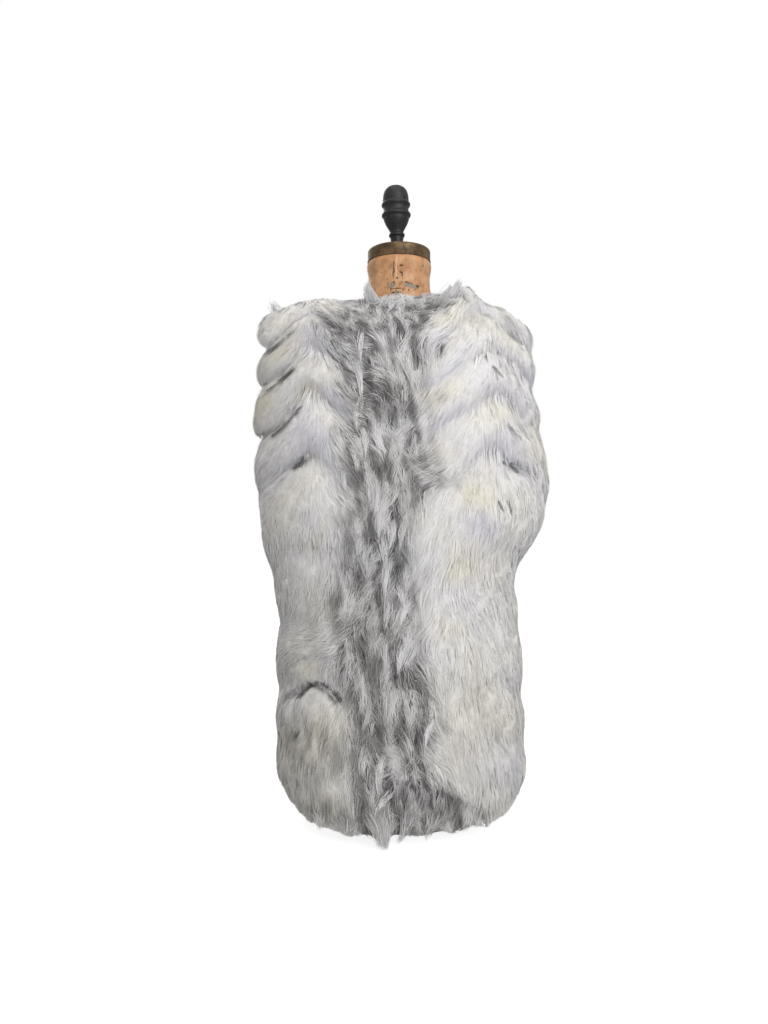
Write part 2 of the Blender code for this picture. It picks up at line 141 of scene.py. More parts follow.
FormSection = namedtuple("FormSection", "z half_width front back")
FORM_SECTIONS = named_rows(
    FormSection,
    (0.0, 0.088, 0.07, 0.07), (0.006, 0.098, 0.077, 0.076), (0.03, 0.122, 0.088, 0.087),
    (0.07, 0.138, 0.096, 0.095), (0.14, 0.143, 0.099, 0.097), (0.21, 0.136, 0.094, 0.09),
    (0.28, 0.122, 0.087, 0.081), (0.32, 0.118, 0.086, 0.079), (0.38, 0.126, 0.096, 0.083),
    (0.44, 0.138, 0.109, 0.089), (0.49, 0.146, 0.111, 0.094), (0.56, 0.153, 0.103, 0.096),
    (0.62, 0.158, 0.09, 0.092), (0.66, 0.162, 0.081, 0.084), (0.685, 0.1622, 0.073, 0.076),
    (0.7, 0.1595, 0.062, 0.06), (0.71, 0.1505, 0.052, 0.05), (0.715, 0.1322, 0.048, 0.047),
    (0.722, 0.1045, 0.044, 0.044), (0.729, 0.0756, 0.0438, 0.0425), (0.731, 0.06, 0.0442, 0.043),
    (0.738, 0.0535, 0.0455, 0.0448), (0.746, 0.0492, 0.0456, 0.0455), (0.758, 0.0464, 0.0453, 0.0453),
    (0.775, 0.0452, 0.045, 0.045), (0.799, 0.0448, 0.0448, 0.0448), (0.8003, 0.044, 0.044, 0.044),
    (0.8138, 0.044, 0.044, 0.044), (0.816, 0.0428, 0.0428, 0.0428), (0.8174, 0.0405, 0.0405, 0.0405),
)

Turning = namedtuple("Turning", "height radius")
FINIAL_OUTLINE = named_rows(
    Turning,
    (0.0935, 0.0), (0.0931, 0.005), (0.0915, 0.01), (0.089, 0.0136), (0.0855, 0.0162), (0.08, 0.0181),
    (0.0725, 0.0188), (0.069, 0.0189), (0.0674, 0.0203), (0.0658, 0.0209), (0.064, 0.0205),
    (0.0622, 0.019), (0.058, 0.0181), (0.054, 0.019), (0.0523, 0.0207), (0.0505, 0.0212),
    (0.0488, 0.0206), (0.047, 0.0189), (0.0435, 0.0181), (0.038, 0.0159), (0.032, 0.0126),
    (0.0275, 0.0103), (0.0247, 0.0098), (0.0233, 0.0111), (0.0205, 0.0114), (0.019, 0.0101),
    (0.016, 0.0094), (0.006, 0.0094), (0.003, 0.0112), (0.0, 0.0114), (0.0, 0.0),
)

# Where the colours lie. Places are in the photo's own frame, 768 x 1024, read one by one

EYE = Vector((-0.0218, -1.16, 0.440))
EYE_SCALE = 800.0  # pixels across at a metre's distance
MID_ACROSS, MID_DOWN = 384.0, 512.0

# The grey strip down the middle, from the neck to the hem
Strip = namedtuple("Strip", "down left right grey")
GREY_STRIP = named_rows(
    Strip,
    (280, 378, 452, 0.55), (300, 352, 452, 0.85), (330, 322, 428, 0.95), (360, 338, 424, 0.9),
    (400, 350, 424, 0.95), (440, 338, 432, 0.85), (480, 346, 440, 0.85), (520, 342, 412, 0.86),
    (560, 344, 410, 0.84), (600, 326, 420, 0.88), (640, 328, 420, 0.85), (680, 336, 430, 0.88),
    (720, 350, 440, 0.88), (760, 350, 424, 0.88), (800, 352, 466, 0.92), (860, 352, 480, 0.95),
)

# Marks by tone: middle, half the length and width, lean from level, and strength
Mark = namedtuple("Mark", "across down length width lean strength")
MARKS = {
    # Slits, where the pile parts, are dark: partly the dark under-fur that shows there, partly painted shade
    # in the parting.
    "slit": named_rows(
        Mark,
        # slits where the bands part, on the wearer's right
        (289, 336, 9.0, 2.2, 38, 0.75), (274, 348, 15.0, 2.6, 38, 1.0), (286, 376, 13.5, 3.2, 42, 1.0),
        (271, 389, 7.0, 2.6, 42, 0.8), (296, 414, 11.0, 2.4, 50, 0.85), (280, 430, 16.0, 2.8, 41, 1.0),
        (302, 463, 16.0, 3.0, 36, 0.9), (281, 482, 12.0, 2.4, 50, 0.45), (304, 692, 9.0, 2.6, 46, 0.9),
        (315, 684, 7.0, 2.8, 22, 1.0), (326, 686, 8.0, 2.8, -28, 1.0), (337, 696, 8.5, 3.0, -50, 1.0),
        (307, 733, 4.5, 2.2, 62, 0.7),
        # and on the wearer's left
        (514, 338, 12.0, 2.6, -40, 0.8), (496, 371, 8.0, 2.0, -50, 0.5),
        (517, 380, 9.0, 2.4, -70, 0.55), (513, 432, 10.0, 2.8, -49, 0.5),
        (512, 468, 14.0, 3.2, -33, 0.8), (500, 506, 6.0, 1.8, -66, 0.55),
    ),
    "dark": named_rows(
        Mark,
        # softer edges of the inner bands
        (319, 331, 13.5, 3.5, -48, 0.5), (338, 346, 11.5, 3.5, -29, 0.5),
        (358, 360, 12.5, 4.0, -37, 0.5), (343, 392, 15.0, 3.5, -41, 0.6),
        (387, 420, 15.0, 4.0, -38, 0.6), (339, 333, 20.0, 13.0, -35, 0.3),
        # spots where the dark roots show
        (371, 317, 6.0, 5.0, 0, 0.6), (385, 328, 6.0, 5.0, 60, 0.6), (413, 323, 7.0, 5.0, -60, 0.95),
        (444, 302, 7.0, 5.0, 20, 0.6), (440, 350, 9.0, 5.0, 60, 0.75), (441, 397, 6.0, 5.0, 0, 0.55),
        (395, 426, 13.0, 3.5, -14, 0.65), (340, 431, 8.0, 5.0, -30, 0.5), (403, 466, 6.0, 5.0, 0, 0.7),
        (350, 476, 6.0, 5.0, -60, 0.6), (355, 516, 7.0, 5.0, -40, 0.7), (370, 537, 7.0, 5.0, -50, 0.6),
        (396, 514, 7.0, 6.0, -50, 0.7), (402, 500, 15.0, 5.0, -50, 0.45),
        (396, 542, 6.0, 6.0, 80, 0.65), (396, 567, 6.0, 5.0, 80, 0.6), (426, 575, 6.0, 5.0, 60, 0.45),
        (405, 597, 6.0, 5.0, 60, 0.5), (416, 631, 7.0, 5.0, 60, 0.5), (393, 677, 6.0, 5.0, 80, 0.6),
        (411, 677, 5.0, 5.0, 80, 0.5), (418, 716, 6.0, 5.0, 70, 0.5), (446, 692, 5.0, 5.0, 70, 0.4),
        (451, 675, 5.0, 4.0, 70, 0.4), (480, 700, 5.0, 5.0, 60, 0.35), (448, 726, 5.0, 5.0, 60, 0.4),
        # creases and folds: painted shade in them
        (312, 547, 27.0, 2.2, 0, 0.35), (331, 549, 10.0, 1.8, -15, 0.5),
        (312, 656, 15.0, 2.4, 12, 0.45), (330, 623, 9.0, 2.4, -29, 0.45),
        (284, 666, 16.0, 2.0, -74, 0.35),
    ),
    "grey": named_rows(
        Mark,
        (430, 478, 31.0, 6.0, -3, 0.7), (339, 334, 22.0, 14.0, -35, 0.8),
        # The broad marks low down, round (312, 750), (305, 640), (330, 812) and (440, 815), are partly the
        # hair's grey-beige and partly painted shade over the lower half.
        (330, 640, 16.0, 16.0, 0, 0.4), (312, 750, 46.0, 44.0, 0, 0.6), (330, 812, 40.0, 16.0, 0, 0.65),
        (440, 815, 60.0, 14.0, 0, 0.5), (305, 640, 34.0, 60.0, 0, 0.34), (482, 702, 9.0, 7.0, 40, 0.22),
        (497, 738, 8.0, 7.0, 0, 0.25), (446, 728, 12.0, 8.0, 30, 0.35), (495, 775, 10.0, 8.0, 0, 0.22),
        (450, 775, 14.0, 10.0, 0, 0.2), (488, 730, 44.0, 90.0, 0, 0.16),
        # (488, 318) is painted shade, which dulls the wearer's left shoulder where the light falls strongly.
        (488, 318, 46.0, 16.0, -12, 0.22),
    ),
    "light": named_rows(
        Mark,
        (393, 585, 8.0, 6.0, 80, 0.8), (403, 611, 7.0, 6.0, 80, 0.8), (405, 651, 7.0, 6.0, 80, 0.8),
        (390, 345, 9.0, 5.0, -60, 0.5), (430, 330, 9.0, 5.0, 20, 0.6), (372, 440, 12.0, 5.0, -60, 0.6),
        (383, 500, 12.0, 5.0, -70, 0.5),
    ),
    "cream": named_rows(
        Mark,
        (288, 348, 20.0, 7.0, 40, 0.55), (300, 392, 26.0, 7.0, 30, 0.75),
        (350, 395, 20.0, 6.0, -35, 0.4), (300, 322, 30.0, 8.0, 5, 0.45),
        (418, 395, 14.0, 7.0, -35, 0.85), (447, 455, 16.0, 8.0, -25, 0.6),
        (477, 496, 20.0, 10.0, -20, 0.7), (459, 573, 18.0, 12.0, 20, 0.7),
        (453, 628, 18.0, 12.0, 10, 0.6), (470, 658, 16.0, 10.0, 0, 0.55),
        (338, 603, 10.0, 8.0, 60, 0.7), (311, 670, 12.0, 6.0, 0, 0.8), (355, 672, 8.0, 7.0, 0, 0.6),
        (316, 542, 10.0, 7.0, 40, 0.8), (325, 526, 9.0, 6.0, 50, 0.7), (361, 508, 12.0, 4.0, -40, 0.8),
        # The broad marks at (305, 740) and (330, 810) warm the lower half on the wearer's right to beige:
        # partly the hair's own beige, partly painted shade.
        (470, 320, 46.0, 6.0, 3, 0.5), (478, 720, 46.0, 80.0, 0, 0.42), (305, 740, 40.0, 60.0, 0, 0.62),
        (330, 810, 40.0, 20.0, 0, 0.6),
    ),
    "lavender": named_rows(
        Mark,
        (312, 335, 20.0, 9.0, -45, 0.6), (338, 408, 18.0, 7.0, -40, 0.7),
        (296, 432, 14.0, 6.0, 42, 0.45), (322, 440, 12.0, 12.0, 90, 0.5),
        (480, 527, 20.0, 14.0, -20, 0.8), (508, 432, 12.0, 8.0, -45, 0.6),
        (455, 415, 24.0, 8.0, 30, 0.45), (405, 545, 14.0, 10.0, 80, 0.35),
        (340, 480, 14.0, 20.0, 80, 0.3),
    ),
}

# How far the pile leans outward over the chest, in degrees, on the wearer's right and left
Lie = namedtuple("Lie", "out right_hand left_hand")
LIE = named_rows(
    Lie,
    (0.0, 0, 0), (0.025, -30, -26), (0.06, -52, -38), (0.088, -34, -24), (0.108, 4, -6), (0.13, 38, 10),
    (0.155, 50, 20), (0.19, 54, 30),
)

# Tufts: root and tip in the photo's frame, hairs, spread and bow in pixels, greyness and
# creaminess, and whether the tuft lies on the pile or stands clear of it
Tuft = namedtuple("Tuft", "across down tip_across tip_down hairs spread curve grey cream lies")
TUFTS = (
    # round the neckline
    *named_rows(
        Tuft,
        (373, 303, 368, 283, 110, 3.0, 1.5, 0.3, 0.0), (371, 302, 372, 291, 40, 2.0, 0.0, 0.3, 0.0),
        (381, 305, 386, 297, 40, 2.4, -1.0, 0.3, 0.0), (389, 306, 392, 298, 34, 2.2, 1.0, 0.3, 0.0),
        (398, 307, 404, 299, 40, 2.4, -1.0, 0.25, 0.0), (407, 307, 414, 300, 40, 2.4, 1.0, 0.35, 0.0),
        (417, 305, 426, 297, 44, 2.4, -1.0, 0.35, 0.0), (428, 304, 437, 296, 44, 2.4, 1.0, 0.4, 0.0),
        (440, 303, 451, 286, 80, 2.6, -1.5, 0.35, 0.0), (447, 301, 459, 281, 90, 2.4, -2.0, 0.25, 0.0),
        (455, 300, 461, 285, 70, 2.8, 1.0, 0.2, 0.1), (464, 301, 463, 291, 50, 2.8, 0.0, 0.15, 0.1),
        lies=False,
    ),
    # shoulder tips
    *named_rows(
        Tuft,
        (279, 314, 271, 304, 60, 3.4, 0.5, 0.05, 0.0),
        lies=False,
    ),
    # down the closing edge
    *named_rows(
        Tuft,
        (367, 299, 361, 336, 34, 1.0, 2.5, 0.02, 0.1), (363, 330, 361, 366, 18, 1.2, -1.5, 0.15, 0.1),
        (358, 366, 362, 405, 22, 1.4, 2.0, 0.15, 0.2), (361, 398, 358, 432, 30, 1.4, -2.0, 0.05, 0.3),
        (362, 428, 366, 462, 26, 1.4, 2.0, 0.1, 0.1), (367, 456, 371, 490, 24, 1.6, -2.0, 0.15, 0.1),
        (376, 480, 374, 514, 24, 1.6, 2.0, 0.15, 0.0), (384, 503, 379, 540, 34, 1.6, -2.0, 0.02, 0.0),
        (381, 536, 385, 572, 26, 1.8, 2.0, 0.15, 0.0), (390, 560, 385, 600, 30, 1.8, -2.0, 0.1, 0.0),
        (388, 596, 384, 632, 24, 1.8, 2.0, 0.2, 0.0), (385, 640, 388, 676, 22, 1.8, -1.5, 0.2, 0.0),
        (390, 690, 386, 728, 24, 1.8, 1.5, 0.2, 0.0), (383, 758, 379, 798, 40, 1.8, -2.0, 0.05, 0.1),
        (389, 792, 374, 822, 50, 1.8, -3.0, 0.08, 0.1),
        lies=True,
    ),
    # light curls in the grey
    *named_rows(
        Tuft,
        (394, 303, 381, 324, 34, 1.6, 3.0, 0.1, 0.0), (399, 308, 406, 332, 34, 1.6, -3.0, 0.1, 0.0),
        (385, 312, 393, 340, 30, 1.6, 3.0, 0.15, 0.0), (409, 336, 412, 362, 30, 1.6, -2.0, 0.1, 0.4),
        (371, 334, 386, 353, 26, 1.8, 2.0, 0.3, 0.1), (375, 352, 394, 374, 28, 1.8, -2.0, 0.3, 0.2),
        (345, 334, 358, 352, 22, 1.8, 2.0, 0.45, 0.0), (346, 358, 362, 378, 24, 1.8, -2.0, 0.4, 0.1),
        (398, 360, 413, 388, 26, 1.8, 2.0, 0.3, 0.3), (372, 392, 388, 410, 26, 1.8, 3.0, 0.3, 0.0),
        (379, 430, 388, 455, 40, 1.4, -4.0, 0.0, 0.0), (372, 446, 384, 462, 26, 1.6, 3.0, 0.2, 0.0),
        (396, 434, 408, 458, 26, 1.8, -2.0, 0.3, 0.1), (393, 458, 402, 484, 28, 1.8, 3.0, 0.25, 0.1),
        (408, 462, 436, 480, 30, 1.8, -3.0, 0.35, 0.2), (420, 470, 452, 482, 26, 1.6, 2.0, 0.45, 0.1),
        (352, 446, 358, 472, 26, 1.8, 2.0, 0.15, 0.0), (344, 470, 349, 498, 26, 2.0, -2.0, 0.15, 0.0),
        (397, 486, 388, 510, 26, 1.8, 2.0, 0.3, 0.1), (392, 520, 388, 550, 28, 1.8, 2.0, 0.1, 0.0),
        (406, 520, 400, 552, 26, 1.8, -2.0, 0.2, 0.0), (399, 586, 404, 614, 34, 2.0, 2.0, 0.05, 0.0),
        (410, 602, 399, 628, 34, 2.0, -2.0, 0.05, 0.0), (417, 640, 404, 668, 26, 2.0, 2.0, 0.2, 0.0),
        (406, 645, 398, 676, 34, 2.2, -2.0, 0.05, 0.0), (420, 660, 433, 690, 26, 2.0, 2.0, 0.2, 0.1),
        (396, 690, 391, 722, 28, 1.8, -2.0, 0.15, 0.0), (434, 720, 425, 748, 34, 1.6, -3.0, 0.02, 0.1),
        (404, 735, 412, 765, 24, 1.8, 2.0, 0.35, 0.1), (370, 700, 362, 732, 22, 2.0, 2.0, 0.35, 0.2),
        (366, 745, 360, 776, 22, 2.0, -2.0, 0.35, 0.2),
        lies=True,
    ),
    # the hem
    *named_rows(
        Tuft,
        (378, 812, 385, 853, 110, 3.4, 3.0, 0.3, 0.1), (388, 818, 386, 847, 70, 3.0, -2.0, 0.45, 0.0),
        (371, 815, 381, 848, 70, 3.2, 1.5, 0.5, 0.1), (322, 812, 321, 829, 40, 3.0, 1.0, 0.35, 0.0),
        (408, 812, 398, 842, 50, 3.4, 2.0, 0.5, 0.0), (340, 815, 345, 832, 44, 3.4, 1.0, 0.45, 0.0),
        (433, 812, 424, 838, 50, 3.6, 2.0, 0.5, 0.0),
        lies=False,
    ),
)


def column(table, name):
    return np.array([getattr(row, name) for row in table])


# The backing's surface, as the part's source has it


def smooth_between(value, at, heights):
    """Reads a table at value along a curve that passes smoothly through its rows."""
    slopes = np.gradient(heights, at)
    value = np.clip(value, at[0], at[-1])
    place = np.clip(np.searchsorted(at, value) - 1, 0, len(at) - 2)
    step = at[place + 1] - at[place]
    t = (value - at[place]) / step
    return (
        heights[place] * (1 + 2 * t) * (1 - t) ** 2
        + heights[place + 1] * t**2 * (3 - 2 * t)
        + slopes[place] * step * t * (1 - t) ** 2
        + slopes[place + 1] * step * t**2 * (t - 1)
    )


def smooth_read(table, by, name, value):
    """One column of a table, read smoothly at values of another column."""
    return smooth_between(value, column(table, by), column(table, name))


def straight_read(table, by, name, value):
    """One column of a table, read along straight lines at values of another column."""
    return np.interp(value, column(table, by), column(table, name))


def ease(value, low, high):
    """0 up to low, 1 from high on, and smooth between them."""
    t = np.clip((value - low) / (high - low), 0, 1)
    return t * t * (3 - 2 * t)


def signed_power(value, power):
    return np.sign(value) * np.abs(value) ** power


def unit(vector):
    return vector / np.maximum(np.linalg.norm(vector, axis=-1, keepdims=True), 1e-12)


def half_width(angle, z):
    """The backing's half width at a height, on the side that the angle points to."""
    left, right = (smooth_read(SECTIONS, "z", side, z) for side in ("left", "right"))
    return np.where(angle < 0, left, right)


def depth(face, z):
    return smooth_read(SECTIONS, "z", "front" if face == FRONT else "back", z)


def hem_height(face, angle):
    """The hem's height rises to the side seams."""
    z = (HEM_FRONT_Z if face == FRONT else HEM_BACK_Z) + HEM_SIDE_RISE * np.sin(angle) ** 4
    side_z = HEM_FRONT_Z + HEM_SIDE_RISE
    return np.where(np.abs(angle) >= math.pi / 2, side_z, z + (side_z - z) * np.sin(angle) ** 8)


def backing_point(face, angle, row):
    """A point of the backing: x is the half width times a power of the angle's sine, y the
    depth times a power of its cosine, and z rises with the row. Rows 0 to 1 are the tube
    from hem to chest, and 1 to 2 a quarter arch over to the shoulder seam."""
    tube = np.clip(row, -1, 1)
    over = np.clip(row - 1, 0, 2) * math.pi / 2
    hem = hem_height(face, angle)
    z = hem + tube * (ARCH_Z - hem)
    x = half_width(angle, z) * signed_power(np.sin(angle), SECTION_POWER)
    y = face * depth(face, z) * signed_power(np.cos(angle), SECTION_POWER)
    shoulder_z = SHOULDER_NECK_Z - SHOULDER_SLOPE * (np.abs(x) - NECK_HALF_WIDTH)
    y = y * signed_power(np.cos(over), ARCH_POWER)
    z = z + (shoulder_z - ARCH_Z) * signed_power(np.sin(over), ARCH_POWER)
    return np.stack([x, y, z], -1)


def angle_at(x, z):
    """The angle at which the backing is x from the middle."""
    share = np.clip(np.abs(x) / half_width(np.sign(x), z), 0, 1) ** (1 / SECTION_POWER)
    return np.sign(x) * np.arcsin(share)


def closing_angle(row):
    """The angle of the edge where the two fronts meet."""
    x = smooth_read(CLOSING_EDGE, "row", "x", row)
    z = HEM_FRONT_Z + np.clip(row, 0, 1) * (ARCH_Z - HEM_FRONT_Z)
    return angle_at(x, z)


def side_angle(row):
    """A quarter turn at the side seam, drawn in above the underarm to make the armhole."""
    underarm_row = (UNDERARM_Z - HEM_FRONT_Z) / (ARCH_Z - HEM_FRONT_Z)
    drawn = np.clip((row - underarm_row) / (ARMHOLE_WIDEST_ROW - underarm_row), 0, 1)
    return math.pi / 2 - (math.pi / 2 - ARMHOLE_ANGLE) * np.sqrt(drawn * (2 - drawn))


def top_row(face, angle):
    """The row at which a line up the panel ends: the shoulder seam, or the neckline."""
    x = np.abs(backing_point(face, angle, np.full_like(angle, 1.5))[..., 0])
    neck_depth = NECK_FRONT_DEPTH if face == FRONT else NECK_BACK_DEPTH
    ring = neck_depth * np.sqrt(np.clip(1 - (x / NECK_HALF_WIDTH) ** 2, 0, 1))
    chest = depth(face, ARCH_Z) * np.cos(np.clip(angle, -1.5, 1.5)) ** SECTION_POWER
    share = np.clip(ring / chest, 0, 1) ** (1 / ARCH_POWER)
    return 1 + np.arccos(share) / (math.pi / 2)


def chevron(x):
    """How far a pelt band lies below its peaks: an M, drawn along the width."""
    beyond = np.abs(x) - BAND_PEAK_X
    away = np.hypot(beyond, PEAK_ROUND) - PEAK_ROUND
    inner = BAND_CENTRE_DROP * np.clip(away / (BAND_PEAK_X - PEAK_ROUND), 0, 1)
    outer = BAND_SIDE_DROP * np.clip(away / (BAND_SIDE_X - BAND_PEAK_X - PEAK_ROUND), 0, 1.2)
    return np.where(beyond < 0, inner, outer)


def band_place(point):
    """Which band a point is in, counted up from the hem, and how far down that band it is."""
    at = column(GROOVES, "z")
    height = point[..., 2] + chevron(point[..., 0]) + BAND_WANDER * waves(point, "band wander")
    level = np.interp(height, at, np.arange(len(at)))
    return level, 1 - level % 1


def groove_depth(point):
    """How far the fur sinks between the pelt bands, as a skewed half sine a band: less down
    the middle and less again at the sides."""
    away = np.abs(point[..., 0])
    level, below = band_place(point)
    sunk = 1 - np.sin(math.pi * below**GROOVE_SKEW) ** GROOVE_FILL
    past_middle = 0.60 * ease(away, CENTRE_STRIP, CENTRE_STRIP * 2.4)
    share = 0.40 + past_middle - 0.30 * ease(away, 0.155, 0.185)
    return sunk * share * np.interp(level, np.arange(len(GROOVES)), column(GROOVES, "depth"))


def pile_depth(face, angle, row):
    """The pile's depth: full, less the grooves, lofty at the shoulder tips, shorter at
    the hem, and thinner where the under flap shows below the cutaway."""
    point = backing_point(face, angle, row)
    x = point[..., 0]
    full = PILE - groove_depth(point)
    loft = smooth_read(SHOULDER_LOFT, "x", "extra", x)
    full = full + loft * ease(row, *SHOULDER_ROWS)
    if face == FRONT:
        under = ease(x, -0.024, 0.004) * (row < FLAP_TOP_ROW) * (angle < closing_angle(row) + 1e-6)
        full = full * (1 - (1 - FLAP_PILE) * under)
    return full * (0.70 + 0.30 * ease(row, -0.01, 0.04))


def combed_depth(face, angle, row):
    """The depth of the pile as it's combed: the solid's, with the bands rolled deeper, drawn
    in at the armholes' edges over the chest, and flattened round the neckline."""
    point = backing_point(face, angle, row)
    x, z = point[..., 0], point[..., 2]
    full = pile_depth(face, angle, row) - (RELIEF - 1) * groove_depth(point)
    outer = ease(np.abs(x), 0.110, 0.165)
    left_in = 0.007 * np.exp(-(((z - 0.672) / 0.030) ** 2)) + 0.003 * ease(z, 0.50, 0.60)
    right_in = 0.009 * ease(z, 0.54, 0.62) + 0.003 * ease(z, 0.46, 0.50)
    full = full - outer * np.where(x < 0, left_in, right_in)
    if face == BACK:
        full = full - 0.009 * np.exp(-(((x - 0.088) / 0.022) ** 2)) * ease(row, *SHOULDER_ROWS)
    top = top_row(face, angle)
    neck = ease(row, top - 0.34, top - 0.02) * ease(0.088 - np.abs(x), 0, 0.03)
    return np.maximum(full * (1 - 0.50 * neck), LEAST_PILE)


class Surface:
    """One face of the backing and the top of its pile, worked out once on a fine grid of
    angles and rows and read between the grid's points."""

    CHANNELS = {
        "base": slice(0, 3),
        "normal": slice(3, 6),
        "crown": slice(6, 9),
        "pile": slice(9, 10),
        "across": slice(10, 11),
        "up": slice(11, 12),
    }

    def __init__(self, face):
        self.face = face
        self.angles = np.linspace(-WIDEST_ANGLE, WIDEST_ANGLE, GRID_ANGLES)
        self.rows = np.linspace(*ROW_SPAN, GRID_ROWS)
        angle, row = np.meshgrid(self.angles, self.rows, indexing="ij")
        base = backing_point(face, angle, row)
        across = np.gradient(base, self.angles, axis=0)
        up = np.gradient(base, self.rows, axis=1)
        cross = np.cross(across, up)
        normal = unit(-face * cross)
        pile = combed_depth(face, angle, row)[..., None]
        top = base + normal * pile
        crown = unit(-face * np.cross(np.gradient(top, axis=0), np.gradient(top, axis=1)))
        crown = unit(CROWN_SHARE * crown + (1 - CROWN_SHARE) * normal)
        self.cell_area = np.linalg.norm(cross, axis=-1)[:-1, :-1]
        lengths = [np.linalg.norm(v, axis=-1, keepdims=True) for v in (across, up)]
        self.grid = np.concatenate([base, normal, crown, pile, *lengths], -1)

    @staticmethod
    def cell(steps, value):
        """The grid's line below each value, and how far past it the value is."""
        place = (np.clip(value, steps[0], steps[-1]) - steps[0]) / (steps[1] - steps[0])
        low = np.minimum(place.astype(int), len(steps) - 2)
        return low, (place - low)[..., None]

    def read(self, angle, row):
        """Bilinear values at any angles and rows."""
        (i, u), (j, v) = self.cell(self.angles, angle), self.cell(self.rows, row)
        value = (
            self.grid[i, j] * (1 - u) * (1 - v)
            + self.grid[i + 1, j] * u * (1 - v)
            + self.grid[i, j + 1] * (1 - u) * v
            + self.grid[i + 1, j + 1] * u * v
        )
        return {name: value[..., part] for name, part in self.CHANNELS.items()}


# Colour and lie of the pile

# A layer's greyness, how much chance changes it, the share of dark strands in the grey, and
# the strength of the dark spots
Layer = namedtuple("Layer", "grey chance likely spots")
UNDER_LAYER = Layer(0.90, 0.3, 0.55, 1.20)
OVER_LAYER = Layer(0.50, 0.6, 0.20, 0.70)

# Smooth random fields: the length of their waves in metres, and their seed
Field = namedtuple("Field", "length seed")
FIELDS = {
    "lie edge": Field(0.10, 4),
    "lie slow": Field(0.085, 5),
    "lie quick": Field(0.045, 6),
    "mottle": Field(0.030, 11),
    "fine mottle": Field(0.015, 12),
    "cream": Field(0.11, 13),
    "lavender": Field(0.10, 14),
    "band shading patches": Field(0.09, 15),
    "undercoat": Field(0.022, 21),
    "fine undercoat": Field(0.010, 22),
    "hem tufts": Field(0.030, 31),
    "ragged": Field(0.006, 41),
    "fine ragged": Field(0.0025, 42),
    "neck": Field(0.03, 43),
    "dents": Field(0.035, 51),
    "band wander": Field(0.10, 61),
    "back up": Field(0.25, 71),
    "back across": Field(0.22, 72),
}


def waves(point, name):
    """A smooth random field from about -1 to 1: eight sine waves in fixed directions."""
    length, seed = FIELDS[name]
    rng = np.random.default_rng(seed)
    turns = unit(rng.normal(size=(8, 3))) * (2 * math.pi / length * rng.uniform(0.7, 1.5, 8))[:, None]
    phases = rng.uniform(0, 2 * math.pi, 8)
    return sum(np.sin(point @ turn + phase) for turn, phase in zip(turns, phases)) / 3.0


def photo_place(face, point):
    """Where a point lies in the photo's frame. The back takes the front's marks mirrored,
    with their places drawn aside by a slow wave."""
    x, y, z = point[..., 0], point[..., 1], point[..., 2]
    if face == BACK:
        x, y = -x, -y
        z = z + 0.012 * waves(point, "back up")
        x = x + 0.010 * waves(point, "back across")
    away = np.maximum(y - EYE.y, 0.2)
    return MID_ACROSS + (x - EYE.x) * EYE_SCALE / away, MID_DOWN - (z - EYE.z) * EYE_SCALE / away


def marks_at(across, down, tone):
    """The strongest mark of a tone at each place: a bell curve along and across the mark."""
    found = np.zeros_like(across)
    for mark in MARKS[tone]:
        turn = math.radians(mark.lean)
        dx, dy = across - mark.across, mark.down - down
        along = (dx * math.cos(turn) + dy * math.sin(turn)) / mark.length
        aside = (dy * math.cos(turn) - dx * math.sin(turn)) / mark.width
        across_it = np.abs(aside) ** 3 if tone == "slit" else aside**2
        found = np.maximum(found, mark.strength * np.exp(-(np.abs(along) ** 2.6) - across_it))
    return found


def grey_at(across, down):
    """How far a place is in the grey strip, with soft edges."""
    left, right, grey = (straight_read(GREY_STRIP, "down", name, down) for name in ("left", "right", "grey"))
    inside = np.minimum(across - left, right - across)
    return ease(inside, -14, 16) * grey


def lie_of_pile(face, point, row):
    """How far the pile leans out from straight down, in radians: beyond the bands' peaks
    it runs down and out, inside them down and in, and it hangs straight at the middle."""
    x, z = point[..., 0], point[..., 2]
    right_hand = x < 0 if face == FRONT else x > 0
    out = np.abs(x) + 0.012 * waves(point, "lie edge")
    chest = ease(z, 0.385, 0.50)
    sides = (straight_read(LIE, "out", name, out) for name in ("right_hand", "left_hand"))
    swept = np.where(right_hand, *sides)
    sweep = right_hand * ease(out, 0.03, 0.07) * np.exp(-(((z - 0.27) / 0.035) ** 2))
    lean = chest * swept + (1 - chest) * (13 * ease(out, 0.02, 0.14) + 52 * sweep)
    centre = 1 - ease(out, 0.03, 0.085)
    lean = lean + 12 * ease(row, 1.45, 1.85) * ease(out, 0.09, 0.13)
    lean = lean + (6 + 20 * centre) * waves(point, "lie slow") + 10 * centre * waves(point, "lie quick")
    return np.radians(lean)


